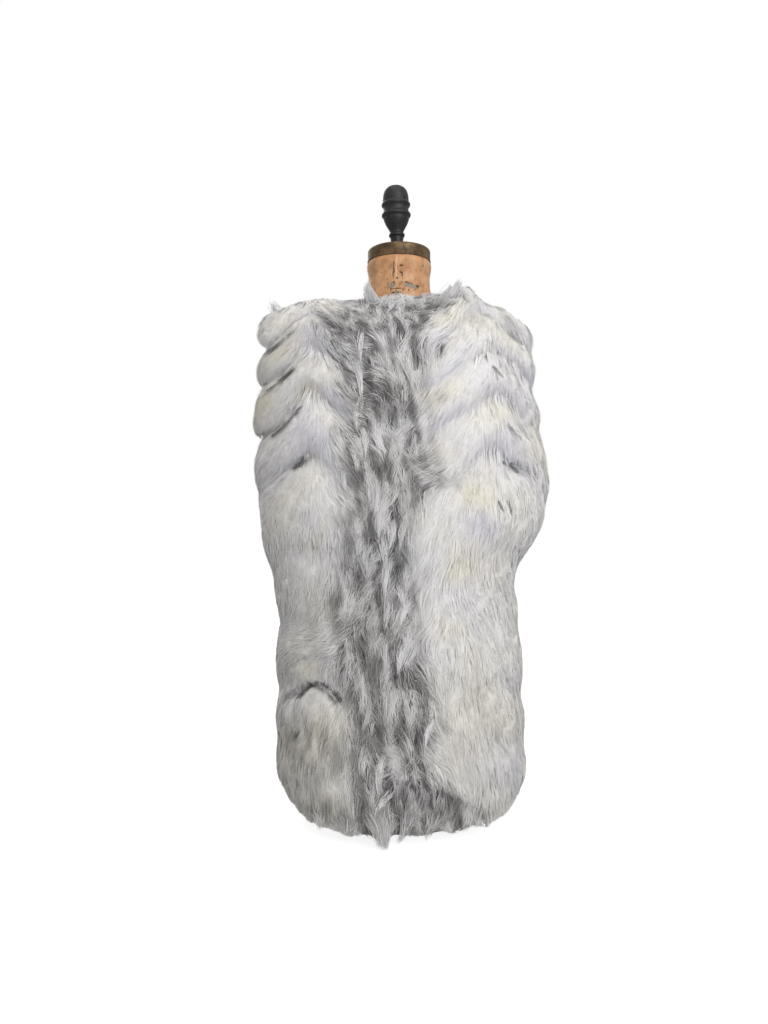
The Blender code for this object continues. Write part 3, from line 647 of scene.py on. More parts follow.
def tones(face, point, along, lock, under):
    """Weights of grey, cream, lavender and dark at points of the pile. Along runs from 0 at
    a strand's root to 1 at its tip, and lock holds each strand's own chances, with which its
    place is moved a little, so that marks end in strands and not on a line."""
    layer = UNDER_LAYER if under else OVER_LAYER
    true_across, true_down = photo_place(face, point)
    across = true_across + 5.0 * (lock[0] - 0.5)
    down = true_down + 13.0 * (lock[1] - 0.5)
    z = point[..., 2]
    strip = grey_at(across, down)
    drawn_out = point * np.array([1.0, 1.0, 0.42])
    mottle = waves(drawn_out, "mottle") + 0.8 * waves(drawn_out, "fine mottle")
    # Greyer, with more dark strands, towards the hem: partly the hair's own grey-beige, partly painted shade
    # over the lower half.
    low = ease(0.46 - z, 0.0, 0.14)
    mottle = mottle * (1 - 0.42 * low) + 0.16 * low + 0.22 * ease(0.14 - z, 0.0, 0.08)
    light = marks_at(across, down, "light")
    zone = np.clip(np.maximum(strip, marks_at(across, down, "grey")) - 0.8 * light, 0, 1)
    grey = zone * np.clip(layer.grey + 0.45 * mottle + layer.chance * (lock[2] - 0.5), 0.02, 1)
    likely = layer.likely + 0.45 * np.clip(mottle, -1, 1)
    strand = np.clip(0.5 + (likely - lock[3]) / 0.6, 0, 1) * zone * (0.95 - 0.35 * along)
    # The slits' dark is partly the under-fur's own, partly painted shade in the parting.
    slit = marks_at(true_across + 1.2 * (lock[0] - 0.5), true_down + 2.0 * (lock[1] - 0.5), "slit")
    spots = marks_at(across, down, "dark") * layer.spots * (0.6 + 0.8 * lock[3])
    dark = np.clip(np.maximum.reduce([strand, spots, 1.3 * slit - 0.4]), 0, 1)
    # Painted light and shade on the rolled bands: cream near each band's top, where light falls, and
    # lavender and grey towards its lower edge, where shade falls. That lavender is partly also the pelts'
    # own darker under-fur at each seam.
    _, below = band_place(point)
    patchy = np.clip(0.75 + 0.5 * waves(point, "band shading patches"), 0.2, 1.2)
    band_light_and_shade = ease(z, 0.40, 0.52) * (1 - strip) * patchy
    warm = marks_at(across, down, "cream") + 0.10 + 0.16 * waves(point, "cream")
    warm = warm + 0.35 * band_light_and_shade * np.exp(-(((below - 0.30) / 0.22) ** 2))
    cool = marks_at(across, down, "lavender") + 0.14 + 0.18 * waves(point, "lavender")
    cool = cool + 0.50 * band_light_and_shade * ease(below, 0.50, 0.95)
    cream = np.clip(warm, 0, 0.85) * (1 - 0.6 * strip)
    shaded = np.clip(grey + 0.10 * band_light_and_shade * ease(below, 0.68, 1.0), 0, 1)
    return np.stack([shaded, cream, np.clip(cool, 0, 0.9), dark], -1)


# Meshes from arrays


def mesh_from_triangles(name, points, triangles, normals=None):
    """A mesh from arrays of points and triangles, smooth, with its own normals if given."""
    mesh = bpy.data.meshes.new(name)
    mesh.vertices.add(len(points))
    mesh.vertices.foreach_set("co", np.ascontiguousarray(points, dtype=np.float32).ravel())
    mesh.loops.add(triangles.size)
    mesh.loops.foreach_set("vertex_index", np.ascontiguousarray(triangles, dtype=np.int32).ravel())
    mesh.polygons.add(len(triangles))
    mesh.polygons.foreach_set("loop_start", np.arange(0, triangles.size, 3, dtype=np.int32))
    mesh.update(calc_edges=True)
    mesh.shade_smooth()
    if normals is not None:
        mesh.normals_split_custom_set_from_vertices(normals.astype(float).tolist())
    return mesh


def add_colour(mesh, name, values):
    """Stores four numbers a point, in 0 to 1, for the material's nodes."""
    layer = mesh.attributes.new(name, "FLOAT_COLOR", "POINT")
    layer.data.foreach_set("color", np.ascontiguousarray(values, dtype=np.float32).ravel())


def add_piece(name, mesh, material, replaced=None):
    mesh.materials.append(material)
    made = bpy.data.objects.new(name, mesh)
    bpy.context.scene.collection.objects.link(made)
    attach(made, "root")
    if replaced:
        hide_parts(replaced)
    return made


def grid_triangles(rows, columns, close=False):
    """Two triangles for each cell of a grid of points, closed round its columns if asked."""
    index = np.arange(rows * columns).reshape(rows, columns)
    right = np.roll(index, -1, 1) if close else index[:, 1:]
    left = index if close else index[:, :-1]
    a, b, c, d = left[:-1], right[:-1], right[1:], left[1:]
    return np.concatenate([np.stack([a, b, c], -1).reshape(-1, 3), np.stack([a, c, d], -1).reshape(-1, 3)])


def strand_triangles(sections, width):
    """The triangles of one strand: rows of points along it, and one point at its tip."""
    body = grid_triangles(sections, width)
    last, tip = (sections - 1) * width + np.arange(width), sections * width
    cap = np.stack([last[:-1], last[1:], np.full(width - 1, tip)], -1)
    return np.concatenate([body, cap])


# The pile

COMB_STEPS = 7
PARTING_STEPS = 10  # steps in which a lock looks for a parting
UPHILL_STEPS = 4
LEAST_ACROSS, LEAST_UP = 0.02, 0.05  # metres to a radian and to a row, at the least
LOWEST = 0.005  # the lowest that any hair hangs
HEM_FRINGE = 0.0135  # how far the pile hangs below the hem
ARM_REACH = math.radians(4.5)  # the farthest that a lock's line passes the armhole's edge
ARM_INSET = math.radians(3.5)  # how far inside that edge its short hairs are rooted
ARM_ROW = 0.86
SEAM_ROW = 1.999  # a line up the panel that ends above this row ends at the shoulder seam
SEAM_CROSSING = 0.09  # rows past the shoulder seam that still have roots
BACKING_LIFT = 0.0009
UNDER_GREY = 0.09  # how much greyer the undercoat is than the pile over it
SLOPE_STEP = 0.006  # the step, in radians and rows, that measures the surface's slope
SLIT_HAIRS = 9.0  # dark hairs to a pixel of a slit's half length

# Where along its line the points of a strand lie, from its root at 0 to its tip at 1
LOCK_STATIONS = np.array([0.10, 0.38, 0.64, 0.86, 1.0])
HAIR_STATIONS = np.array([0.18, 0.50, 0.78, 1.0])
TUFT_STATIONS = np.array([0.0, 0.30, 0.58, 0.82, 1.0])
SLIT_STATIONS = np.array([0.0, 0.35, 0.70, 1.0])

# Cells of a sheet's grid: across the panel, up the tube, and up the arch over the chest
Cells = namedtuple("Cells", "across tube arch")
BACKING_CELLS = {FRONT: Cells(40, 56, 34), BACK: Cells(64, 56, 34)}
UNDERCOAT_CELLS = {FRONT: Cells(72, 90, 44), BACK: Cells(110, 90, 44)}
UNDERCOAT_DEPTH = 0.87  # the undercoat's share of the pile's depth, less in the grey
UNDERCOAT_GREY_LOSS = 0.25
UNDERCOAT_SLIT_LOSS = 0.80
UNDERCOAT_LEAST = 0.0018
ROUNDED_CELLS = 5.0  # cells over which the undercoat comes up from a free edge

# What the combed locks hold: their middle lines, and the pile's normal and level direction
# at the line's points, then each lock's greyness and its four chances
Locks = namedtuple("Locks", "line crown aside grey chances")


def face_of(panel):
    return BACK if panel == "back" else FRONT


def panel_edges(panel, row):
    if panel == "front_right":
        return -side_angle(row), closing_angle(row)
    if panel == "front_left":
        return closing_angle(row), side_angle(row)
    return -side_angle(row), side_angle(row)


def inside_panel(panel, angle, row):
    first, last = panel_edges(panel, row)
    return (angle >= first) & (angle <= last)


def root_limit(face, angle):
    """The highest row with roots: the neckline, or a little past the shoulder seam, so that
    the two panels' hairs cross over it."""
    top = top_row(face, angle)
    return top + SEAM_CROSSING * (top > SEAM_ROW)


def scatter(surface, panel, count, rng):
    """Roots spread evenly over a panel: cells of the grid are picked in step with their
    summed area, and each root lies anywhere in its cell."""
    angle = (surface.angles[:-1, None] + surface.angles[1:, None]) / 2 + 0 * surface.rows[None, :-1]
    row = (surface.rows[None, :-1] + surface.rows[None, 1:]) / 2 + 0 * angle
    inside = inside_panel(panel, angle, row) & (row >= 0) & (row <= root_limit(surface.face, angle))
    total = np.cumsum((surface.cell_area * inside).ravel())
    pick = (np.arange(count) + rng.random(count)) / count * total[-1]
    cell = np.minimum(np.searchsorted(total, pick), total.size - 1)
    i, j = np.unravel_index(cell, angle.shape)
    angle, row = (
        middles[i, j] + (rng.random(count) - 0.5) * (steps[1] - steps[0])
        for middles, steps in ((angle, surface.angles), (row, surface.rows))
    )
    return angle, row


def walk(surface, angle, row, length, steps, lean, reach):
    """Combs from each root along the backing: at every step the angle and row change by the
    step's length along the pile's lie, over the surface's own size there. A line that comes
    to an armhole's edge is held to a reach past it."""
    side = np.where(angle < 0, -1.0, 1.0)
    angles, rows = [angle], [row]
    for _ in range(steps):
        here = surface.read(angle, row)
        turn = lie_of_pile(surface.face, here["base"], row) + lean
        width = np.maximum(here["across"][..., 0], LEAST_ACROSS)
        height = np.maximum(here["up"][..., 0], LEAST_UP)
        angle = angle + side * np.sin(turn) * length / steps / width
        row = row - np.cos(turn) * length / steps / height
        past = (np.abs(angle) - side_angle(row)) / reach
        held = side_angle(row) + reach * (1 - np.exp(-np.maximum(past, 0)))
        angle = np.where((past > 0) & (row > ARM_ROW), side * held, angle)
        angles.append(angle)
        rows.append(row)
    return np.stack(angles, 1), np.stack(rows, 1)


def parting_at(face, point):
    """How sharply the pile parts at a place: fully at a slit, and softly at a groove."""
    across, down = photo_place(face, point)
    slit = marks_at(across, down, "slit")
    soft = groove_depth(point) / 0.010 * ease(np.abs(point[..., 0]), 0.05, 0.10)
    return 0.80 * soft, slit


def hang(face, angles, line):
    """Pulls up what hangs below the hem, so that it ends in uneven tufts a little under it."""
    hem = hem_height(face, angles)
    reach = HEM_FRINGE * (1 + 0.30 * waves(line * np.array([1.0, 1.0, 0.2]), "hem tufts"))
    under = np.maximum(hem - line[..., 2], 0)
    line[..., 2] = np.where(under > 0, hem - reach * (1 - np.exp(-under / reach)), line[..., 2])
    return line


def aside_of(crown, line):
    """Level with the pile and square to each line."""
    return unit(np.cross(crown, unit(np.gradient(line, axis=1))))


def comb_locks(surface, panel, count, size, rng):
    """The locks' middle lines. A lock rises from its root to the top of the pile in the
    first half of its length and lies along it. Where it meets a parting it ends there, and
    what would be too short then is rooted further uphill."""
    face = surface.face
    angle, row = scatter(surface, panel, count, rng)
    grey = grey_at(*photo_place(face, surface.read(angle, row)["base"]))
    length = size.pile_length * (1 + 0.22 * (rng.random(count) - 0.5)) * (1 - 0.10 * grey)
    lean = np.radians(6 + 14 * grey) * rng.normal(size=count)
    reach = ARM_REACH * rng.uniform(0.1, 1.0, count) ** 1.5
    angles, rows = walk(surface, angle, row, length, PARTING_STEPS, lean, reach)
    soft, slit = parting_at(face, surface.read(angles, rows)["base"])
    chance = rng.random((count, 1))
    entered, crossed = (found - np.minimum.accumulate(found, axis=1) for found in (soft, slit))
    parted = (entered > 0.22 + 0.20 * chance) & (soft > 0.40 + 0.60 * chance)
    met = (parted | (crossed > 0.20 + 0.35 * chance))[:, 1:]
    share = np.where(met.any(1), (met.argmax(1) + 1) / PARTING_STEPS, 1.0)
    least = 0.45 + 0.25 * rng.random(count)
    back = np.maximum(least - share, 0)
    uphill, upper = walk(surface, angle, row, -length * back, UPHILL_STEPS, lean, reach)
    angle, row = uphill[:, -1], upper[:, -1]
    keep = (row < root_limit(face, angle)) & (np.abs(angle) < side_angle(row))
    keep = keep & (inside_panel(panel, angle, row) | (back == 0))
    share = np.maximum(share, least)
    angle, row, length, lean, share, reach = (v[keep] for v in (angle, row, length, lean, share, reach))
    length = np.where(share < 1, length * share + 0.003 * rng.random(len(share)), length)
    angles, rows = walk(surface, angle, row, length, COMB_STEPS, lean, reach)
    here = surface.read(angles, rows)
    _, slit = parting_at(face, here["base"])
    along = np.linspace(0, 1, COMB_STEPS + 1)[None, :]
    pile = here["pile"][..., 0] * (1 - 0.55 * slit)
    held = 0.35 * (1 - ease(rows, 1.45, 1.70))
    pile = (1 - held) * pile + held * np.maximum.accumulate(pile, axis=1)
    layer = 0.84 + 0.16 * np.sqrt(rng.random(len(angle)))
    rise = 1 - (1 - np.clip(along / 0.48, 0, 1)) ** 2.4
    rise = np.maximum(rise, 0.90 * ease(row, 1.82, 1.97)[:, None])
    height = pile * layer[:, None] * rise * (1 - 0.06 * ease(along, 0.75, 1.0))
    line = here["base"] + here["normal"] * height[..., None]
    grey = grey_at(*photo_place(face, here["base"][:, 0]))
    aside = aside_of(here["crown"], line)
    turns = along * (0.5 + 0.7 * grey)[:, None] + rng.random(len(angle))[:, None]
    curl = (0.0005 + 0.0017 * grey)[:, None] * np.sin(2 * math.pi * turns)
    curl = curl * (1 - 0.8 * ease(row, 1.70, 1.85))[:, None]
    line = hang(face, angles, line + aside * (curl * along)[..., None])
    return Locks(line, here["crown"], aside, grey, rng.random((4, len(angle))))


def between(values, share):
    """Reads each lock's line at shares of its length."""
    place = np.clip(share, 0, 1) * (values.shape[1] - 1)
    low = np.minimum(place.astype(int), values.shape[1] - 2)
    part = (place - low)[..., None]
    lock = np.arange(len(values))[:, None]
    return values[lock, low] * (1 - part) + values[lock, low + 1] * part


def build_strands(name, face, lines, width, along, lock, grey, under, rng):
    """Joined strands: two points across each line at each station, narrower to the root and
    tip, and rolled a little. Their normals fan out from the pile's own, which rounds them,
    and more in the grey, where the pile is rougher."""
    line, crown, aside = lines
    count, stations = line.shape[:2]
    sections = stations - 1
    spread = np.array([-0.5, 0.5])
    taper = (0.55 + 0.45 * ease(along, 0.0, 0.35)) * (1 - 0.60 * ease(along, 0.50, 1.0))
    wide = width[:, None] * taper[None, :]
    roll = (rng.uniform(-1, 1, count) * (0.08 + (0.05 if under else 0.30) * grey))[:, None, None]
    across = unit(aside + roll * crown)[:, :sections, None]
    body = line[:, :sections, None] + across * (wide[:, :sections, None] * spread)[..., None]
    points = np.concatenate([body.reshape(count, -1, 3), line[:, -1:]], 1)
    tilt = (rng.normal(0, 1, count) * (0.075 + 0.13 * grey))[:, None, None, None] * aside[:, :sections, None]
    fan = across * (spread * 0.6)[None, None, :, None] * (0.40 + 0.95 * grey)[:, None, None, None]
    lit = unit(crown[:, :sections, None] + fan + tilt)
    normals = np.concatenate([lit.reshape(count, -1, 3), unit(crown[:, -1:] + tilt[:, -1:, 0])], 1)
    pattern = strand_triangles(sections, len(spread))
    triangles = (pattern[None] + (np.arange(count) * points.shape[1])[:, None, None]).reshape(-1, 3)
    place = np.append(np.repeat(along[:sections], len(spread)), 1.0)[None, :] + np.zeros((count, 1))
    chances = [np.broadcast_to(c[:, None], place.shape) for c in lock]
    mesh = mesh_from_triangles(name, points.reshape(-1, 3), triangles[:, ::-1], normals.reshape(-1, 3))
    add_colour(mesh, "tone", tones(face, points, place, chances, under))
    add_colour(mesh, "strand_place", np.stack([place, chances[0], 0 * place, 0 * place + 1], -1))
    return mesh


def paint(mesh, count, *channels):
    """Gives each of a mesh's strands one grey, cream, lavender and dark over its length."""
    values = np.zeros((count, len(mesh.vertices) // count, 4))
    for number, channel in enumerate(channels):
        values[..., number] = channel
    mesh.attributes["tone"].data.foreach_set("color", values.astype(np.float32).ravel())


def lock_mesh(panel, locks, size, rng):
    """Locks of matted pile: the under layer, wide flat ribbons."""
    along = LOCK_STATIONS
    share = np.broadcast_to(along, (len(locks.line), len(along)))
    lines = [between(part, share) for part in locks[:3]]
    width = size.lock_width * rng.uniform(0.7, 1.2, len(share)) * (1 - 0.50 * locks.grey)
    made = (f"pile_{panel}", face_of(panel), lines, width, along, locks.chances, locks.grey)
    return build_strands(*made, True, rng)


def guard_mesh(name, panel, locks, count, size, rng):
    """Guard hairs: each follows a lock a few millimetres aside and draws in to its tip. Some
    of them, and most in the grey, gather on one lock in three and share its tone, so that
    tufts show."""
    parent = rng.integers(0, len(locks.line), count)
    gather = rng.random(count) < 0.24 + 0.36 * locks.grey[parent]
    parent = np.where(gather, parent // 3 * 3, parent)
    grey = locks.grey[parent]
    along = HAIR_STATIONS
    reach = rng.uniform(0.80, 1.0, count)
    share = along[None, :] * reach[:, None]
    line, crown, aside = (between(part[parent], share) for part in locks[:3])
    drawn_in = 1 - (0.15 + 0.45 * grey)[:, None] * along[None, :]
    off = rng.normal(0, 1, count)[:, None] * (0.0022 + 0.0010 * grey)[:, None] * drawn_in
    lift = rng.uniform(-0.0004, 0.0010, count)[:, None]
    lift = lift + np.abs(rng.normal(0, 0.0012, count))[:, None] * along**3
    stray = rng.normal(0, 0.0018, count)[:, None] * along[None, :] ** 2 * (0.4 + 0.6 * grey)[:, None]
    line = line + aside * (off + stray)[..., None] + crown * lift[..., None]
    line[..., 2] = np.maximum(line[..., 2], LOWEST)
    width = size.hair_width * rng.uniform(0.7, 1.3, count)
    own = rng.random((4, count))
    lock = np.where(gather, 0.5 * own + 0.5 * locks.chances[:, parent], own)
    return build_strands(name, face_of(panel), (line, crown, aside), width, along, lock, grey, False, rng)


def photo_top(surface, angle, row):
    """Where the top of the pile over points of the backing lies in the photo's frame."""
    here = surface.read(angle, row)
    return np.stack(photo_place(surface.face, here["base"] + here["normal"] * here["pile"] * 0.9))


def surface_angle_row(surface, across, down):
    """The angle and row whose pile top lies at a place of the photo's frame: the nearest
    point of a coarse grid, then two steps along the surface's own slopes."""
    angle, row = np.meshgrid(surface.angles[::2], surface.rows[::2], indexing="ij")
    a, d = photo_top(surface, angle, row)
    ok = (np.abs(angle) < 1.4) & (row < top_row(surface.face, angle) - 0.02)
    found = [np.argmin(np.where(ok, (a - x) ** 2 + (d - y) ** 2, 1e9)) for x, y in zip(across, down)]
    angle, row = angle.ravel()[found], row.ravel()[found]
    for _ in range(2):
        place, beside, above = (
            photo_top(surface, angle + by_angle, row + by_row)
            for by_angle, by_row in ((0, 0), (SLOPE_STEP, 0), (0, SLOPE_STEP))
        )
        by_angle, by_row, miss = beside - place, above - place, np.stack([across, down]) - place
        det = by_angle[0] * by_row[1] - by_angle[1] * by_row[0]
        det = np.where(np.abs(det) < 0.05, np.inf, det)
        angle = angle + SLOPE_STEP * np.clip((miss[0] * by_row[1] - miss[1] * by_row[0]) / det, -3, 3)
        row = row + SLOPE_STEP * np.clip((by_angle[0] * miss[1] - by_angle[1] * miss[0]) / det, -3, 3)
    return angle, row


def tuft_mesh(surface, size, rng):
    """The tufts of the table: hairs from round a tuft's root that bow out and draw together
    at its tip. A tuft that stands clear keeps the depth of the pile under its root, and one
    that lies ends on the pile under its tip."""
    root, tip = (
        np.stack([column(TUFTS, across), column(TUFTS, down)], -1).astype(float)
        for across, down in (("across", "down"), ("tip_across", "tip_down"))
    )
    at, end = (surface.read(*surface_angle_row(surface, *place.T)) for place in (root, tip))
    base = at["base"] + at["normal"] * at["pile"] * 0.98
    scale = (base[:, 1:2] - EYE.y) / EYE_SCALE
    away = (tip - root) * scale
    clear = base + np.stack([away[:, 0], np.full(len(away), -0.003), -away[:, 1]], -1)
    laid = end["base"] + end["normal"] * end["pile"] * 1.06
    aim = np.where(column(TUFTS, "lies")[:, None], laid, clear)
    pick = np.repeat(np.arange(len(TUFTS)), column(TUFTS, "hairs"))
    count = len(pick)
    names = ("spread", "curve", "grey", "cream")
    spread, curve, grey, cream = (column(TUFTS, name)[pick] for name in names)
    spread, curve = ((v * scale[pick, 0])[:, None] for v in (spread, curve))
    along = TUFT_STATIONS
    start = base[pick] + rng.normal(0, 1, (count, 3)) * spread * np.array([1.4, 0.4, 1.2])
    stop = aim[pick] + rng.normal(0, 1, (count, 3)) * spread * np.array([0.45, 0.4, 0.6])
    stop = stop + (start - stop) * (0.55 * rng.random(count) ** 2)[:, None]
    line = start[:, None] + (stop - start)[:, None] * along[None, :, None]
    heading = unit(stop - start)[:, None] + 0 * line
    crown = unit(at["crown"][pick] + np.array([0.0, -0.9, 0.1]))[:, None] + 0 * line
    aside = unit(np.cross(crown, heading))
    bow = np.sin(math.pi * along)[None, :, None]
    bend = (curve[:, 0] + rng.normal(0, 0.0016, count))[:, None, None]
    line = line + aside * bow * bend + crown * bow * 0.0014
    line[..., 2] = np.maximum(line[..., 2], LOWEST)
    width = size.hair_width * rng.uniform(0.7, 1.3, count)
    lock = rng.random((4, count))
    made = ("tufts", FRONT, (line, crown, aside), width, along, lock, np.full(count, 0.45))
    mesh = build_strands(*made, False, rng)
    tone = grey[:, None] * rng.uniform(0.2, 1.8, (count, 1)) + 0.10 * rng.random((count, 1))
    paint(mesh, count, np.clip(tone, 0, 1), cream[:, None], 0.25)
    return mesh


def slit_mesh(name, surface, size, rng):
    """The dark hairs that show where the pile parts: along each slit of the table, crowded
    to its middle, and low between the light hairs on both sides. Their dark is partly the
    under-fur's own and partly painted shade in the parting."""
    slits = MARKS["slit"]
    hairs = [int(SLIT_HAIRS * slit.length * slit.strength**2) for slit in slits]
    pick = np.repeat(np.arange(len(slits)), hairs)
    count = len(pick)
    across, down, length, wide, lean, strength = (column(slits, field)[pick] for field in Mark._fields)
    heading = np.stack([np.cos(np.radians(lean)), -np.sin(np.radians(lean))], -1)
    heading = heading * np.where(heading[:, 1:] > 0, 1.0, -1.0)
    aside = np.stack([-heading[:, 1], heading[:, 0]], -1)
    start = rng.uniform(-1.05, 0.45, count)
    off = rng.normal(0, 0.42, count) * (1.05 - 0.55 * np.abs(start))
    root = np.stack([across, down], -1) + heading * (start * length)[:, None] + aside * (off * wide)[:, None]
    tip = root + heading * rng.uniform(5.0, 9.0, count)[:, None]
    tip = tip + aside * rng.normal(0, 0.7, count)[:, None]
    first, last = (np.stack(surface_angle_row(surface, *place.T), -1) for place in (root, tip))
    along = SLIT_STATIONS
    place = first[:, None] + (last - first)[:, None] * along[None, :, None]
    here = surface.read(place[..., 0], place[..., 1])
    _, slit = parting_at(surface.face, here["base"])
    height = here["pile"][..., 0] * (1 - 0.42 * slit) * rng.uniform(0.86, 1.06, count)[:, None]
    line = here["base"] + here["normal"] * height[..., None]
    lines = (line, here["crown"], aside_of(here["crown"], line))
    width = size.hair_width * rng.uniform(0.9, 1.6, count)
    made = (name, surface.face, lines, width, along, rng.random((4, count)), np.zeros(count))
    mesh = build_strands(*made, False, rng)
    # The slit hairs' dark is partly the under-fur's own, partly painted shade.
    paint(mesh, count, 0.6, 0, 0, (rng.uniform(0.70, 1.0, count) * strength**1.5)[:, None])
    return mesh


def edge_locks(surface, panel, count, rng):
    """Short locks along a panel's neckline and armholes, combed out over the edge: their
    lines run from the edge, rise half the pile's depth and curl back in. The count is of
    those tried at the neckline, and of those at the armholes."""
    face = surface.face
    angle = rng.uniform(-0.60, 0.60, count)
    top = top_row(face, angle)
    first, last = panel_edges(panel, top)
    inside = (angle > first) & (angle < last) & (top < SEAM_ROW)
    angle, top = angle[inside], top[inside]
    row = top - rng.uniform(0.0, 0.030, len(angle))
    length = rng.uniform(0.008, 0.017, len(angle))
    lean = rng.normal(0, 0.60, len(angle))
    angles, rows = [angle], [row]
    for _ in range(COMB_STEPS):
        here = surface.read(angle, row)
        width = np.maximum(here["across"][..., 0], LEAST_ACROSS)
        height = np.maximum(here["up"][..., 0], LEAST_UP)
        angle = angle + np.sin(lean) * length / COMB_STEPS / width
        row = row + np.cos(lean) * length / COMB_STEPS / height
        angles.append(angle)
        rows.append(row)
    armed = rng.uniform(0.84, 1.99, count)
    sides = {"front_right": [-1.0], "front_left": [1.0]}.get(panel, [-1.0, 1.0])
    side = rng.choice(sides, count)
    step = np.linspace(0, 1, COMB_STEPS + 1)[None, :]
    here = surface.read(side * side_angle(armed), armed)
    reach = rng.uniform(0.005, 0.010, count)[:, None] * step / np.maximum(here["across"], 0.05)
    fall = rng.uniform(0.2, 1.3, count)[:, None] * 0.010 * step / np.maximum(here["up"], 0.10)
    inset = rng.uniform(0.5, 1.0, count)[:, None] * ARM_INSET
    out = side[:, None] * (side_angle(armed)[:, None] - inset + reach)
    angles = np.vstack([np.stack(angles, 1), out])
    rows = np.vstack([np.stack(rows, 1), armed[:, None] - fall])
    here = surface.read(angles, rows)
    rise = np.sin(math.pi * (0.10 + 0.60 * step))
    height = here["pile"][..., 0] * (0.5 + 0.4 * rng.random(len(rows)))[:, None] * rise
    line = here["base"] + here["normal"] * height[..., None]
    aside = aside_of(here["crown"], line)
    return Locks(line, here["crown"], aside, np.zeros(len(rows)), rng.random((4, len(rows))))


def panel_grid(panel, columns, tube_rows, arch_rows):
    """Angles and rows over a panel, from its first edge to its last and from the hem to the
    shoulder seam or neckline, and how far each point is from a free edge, in cells."""
    face = face_of(panel)
    s = np.linspace(0, 1, columns + 1)[None, :]
    low = np.linspace(0, 1, tube_rows + 1)[:, None] + 0 * s
    first, last = panel_edges(panel, low)
    low_angle = first + (last - first) * s
    top = np.full_like(s, 2.0)
    for _ in range(4):
        first, last = panel_edges(panel, top)
        top = top_row(face, first + (last - first) * s)
    high = 1 + (top - 1) * (np.arange(1, arch_rows + 1) / arch_rows)[:, None]
    first, last = panel_edges(panel, high)
    row, angle = np.vstack([low, high]), np.vstack([low_angle, first + (last - first) * s])
    up_cells = np.arange(row.shape[0])[:, None] + 0 * s
    free = np.minimum(up_cells, np.where(top < SEAM_ROW, row.shape[0] - 1 - up_cells, 99))
    arm = side_angle(row) < math.pi / 2 - 0.01
    sideways = np.arange(columns + 1)[None, :] + 0 * row
    if panel != "front_left":
        free = np.where(arm, np.minimum(free, sideways), free)
    if panel != "front_right":
        free = np.where(arm, np.minimum(free, columns - sideways), free)
    return angle, row, free


def panel_sheet(name, panel, surface, cells, lift):
    """A sheet over a panel: the backing's points moved out along its normal by lift."""
    face = surface.face
    angle, row, free = panel_grid(panel, *cells)
    point = backing_point(face, angle, row)
    point[..., 1] = face * np.maximum(face * point[..., 1], 0.0002)
    here = surface.read(angle, row)
    point = point + here["normal"] * lift(here, free)[..., None]
    triangles = grid_triangles(*row.shape)
    if face == BACK:
        triangles = triangles[:, ::-1]
    mesh = mesh_from_triangles(name, point.reshape(-1, 3), triangles)
    chances = [np.full(row.shape, chance) for chance in (0.5, 0.5, 0.5, 0.9)]
    tone = tones(face, point, np.zeros(row.shape), chances, True)
    tone[..., 0] = np.clip(tone[..., 0] + UNDER_GREY, 0, 1)
    add_colour(mesh, "tone", tone)
    add_colour(mesh, "strand_place", np.full(row.shape + (4,), 0.5))
    return mesh


def backing_mesh(panel, surface):
    """The panel's knitted backing, just clear of the dress form."""

    def lift(here, free):
        return np.full(free.shape, BACKING_LIFT)

    return panel_sheet(f"backing_{panel}", panel, surface, BACKING_CELLS[surface.face], lift)


def undercoat_mesh(panel, surface):
    """The dense short undercoat: most of the pile's depth, down to the backing at the free
    edges in a quarter round, parted at the slits, and uneven by a few waves."""

    def lift(here, free):
        point = here["base"]
        _, slit = parting_at(surface.face, point)
        rough = 0.0011 * waves(point, "undercoat") + 0.0007 * waves(point, "fine undercoat")
        edge = np.sqrt(np.clip(1 - (1 - np.clip(free / ROUNDED_CELLS, 0, 1)) ** 2, 0, 1))
        grey = grey_at(*photo_place(surface.face, point))
        share = UNDERCOAT_DEPTH - UNDERCOAT_GREY_LOSS * grey
        depth_here = here["pile"][..., 0] * share * (1 - UNDERCOAT_SLIT_LOSS * slit)
        return (depth_here + rough) * edge + UNDERCOAT_LEAST

    return panel_sheet(f"undercoat_{panel}", panel, surface, UNDERCOAT_CELLS[surface.face], lift)


# The dress form

# Marks of wear on the neck's front by kind: place in metres, size, lean in degrees
Wear = namedtuple("Wear", "x z length width lean")
NECK_WEAR = {
    "seam": named_rows(
        Wear,
        (-0.0051, 0.7765, 0.023, 0.0013, 90),
    ),
    "hole": named_rows(
        Wear,
        (-0.0088, 0.784, 0.0058, 0.0007, 86), (-0.0095, 0.772, 0.0052, 0.0008, 96),
        (0.0023, 0.7838, 0.0022, 0.0012, 60), (0.0022, 0.7745, 0.002, 0.0013, -30),
        (0.0035, 0.77, 0.0024, 0.0009, 70), (-0.0172, 0.766, 0.0012, 0.0008, 80),
        (0.012, 0.761, 0.0045, 0.0008, -14), (0.0245, 0.7578, 0.0042, 0.0008, -20),
        (-0.004, 0.7515, 0.01, 0.0008, 2), (-0.01, 0.745, 0.0022, 0.0014, 40),
    ),
    "peel": named_rows(
        Wear,
        (-0.011, 0.756, 0.0046, 0.0036, 35), (0.0165, 0.7562, 0.01, 0.0031, -12),
        (-0.004, 0.7445, 0.007, 0.003, 10), (0.033, 0.787, 0.003, 0.001, 70),
    ),
}


def ring(half, front, back, z, turn, power):
    """A closed ring: x follows the sine and y the cosine of the turn, each to a power."""
    reach = np.where(np.cos(turn) > 0, front, back)
    x = half * signed_power(np.sin(turn), power)
    y = -reach * signed_power(np.cos(turn), power)
    return np.stack([x, y, z + 0 * x], -1)


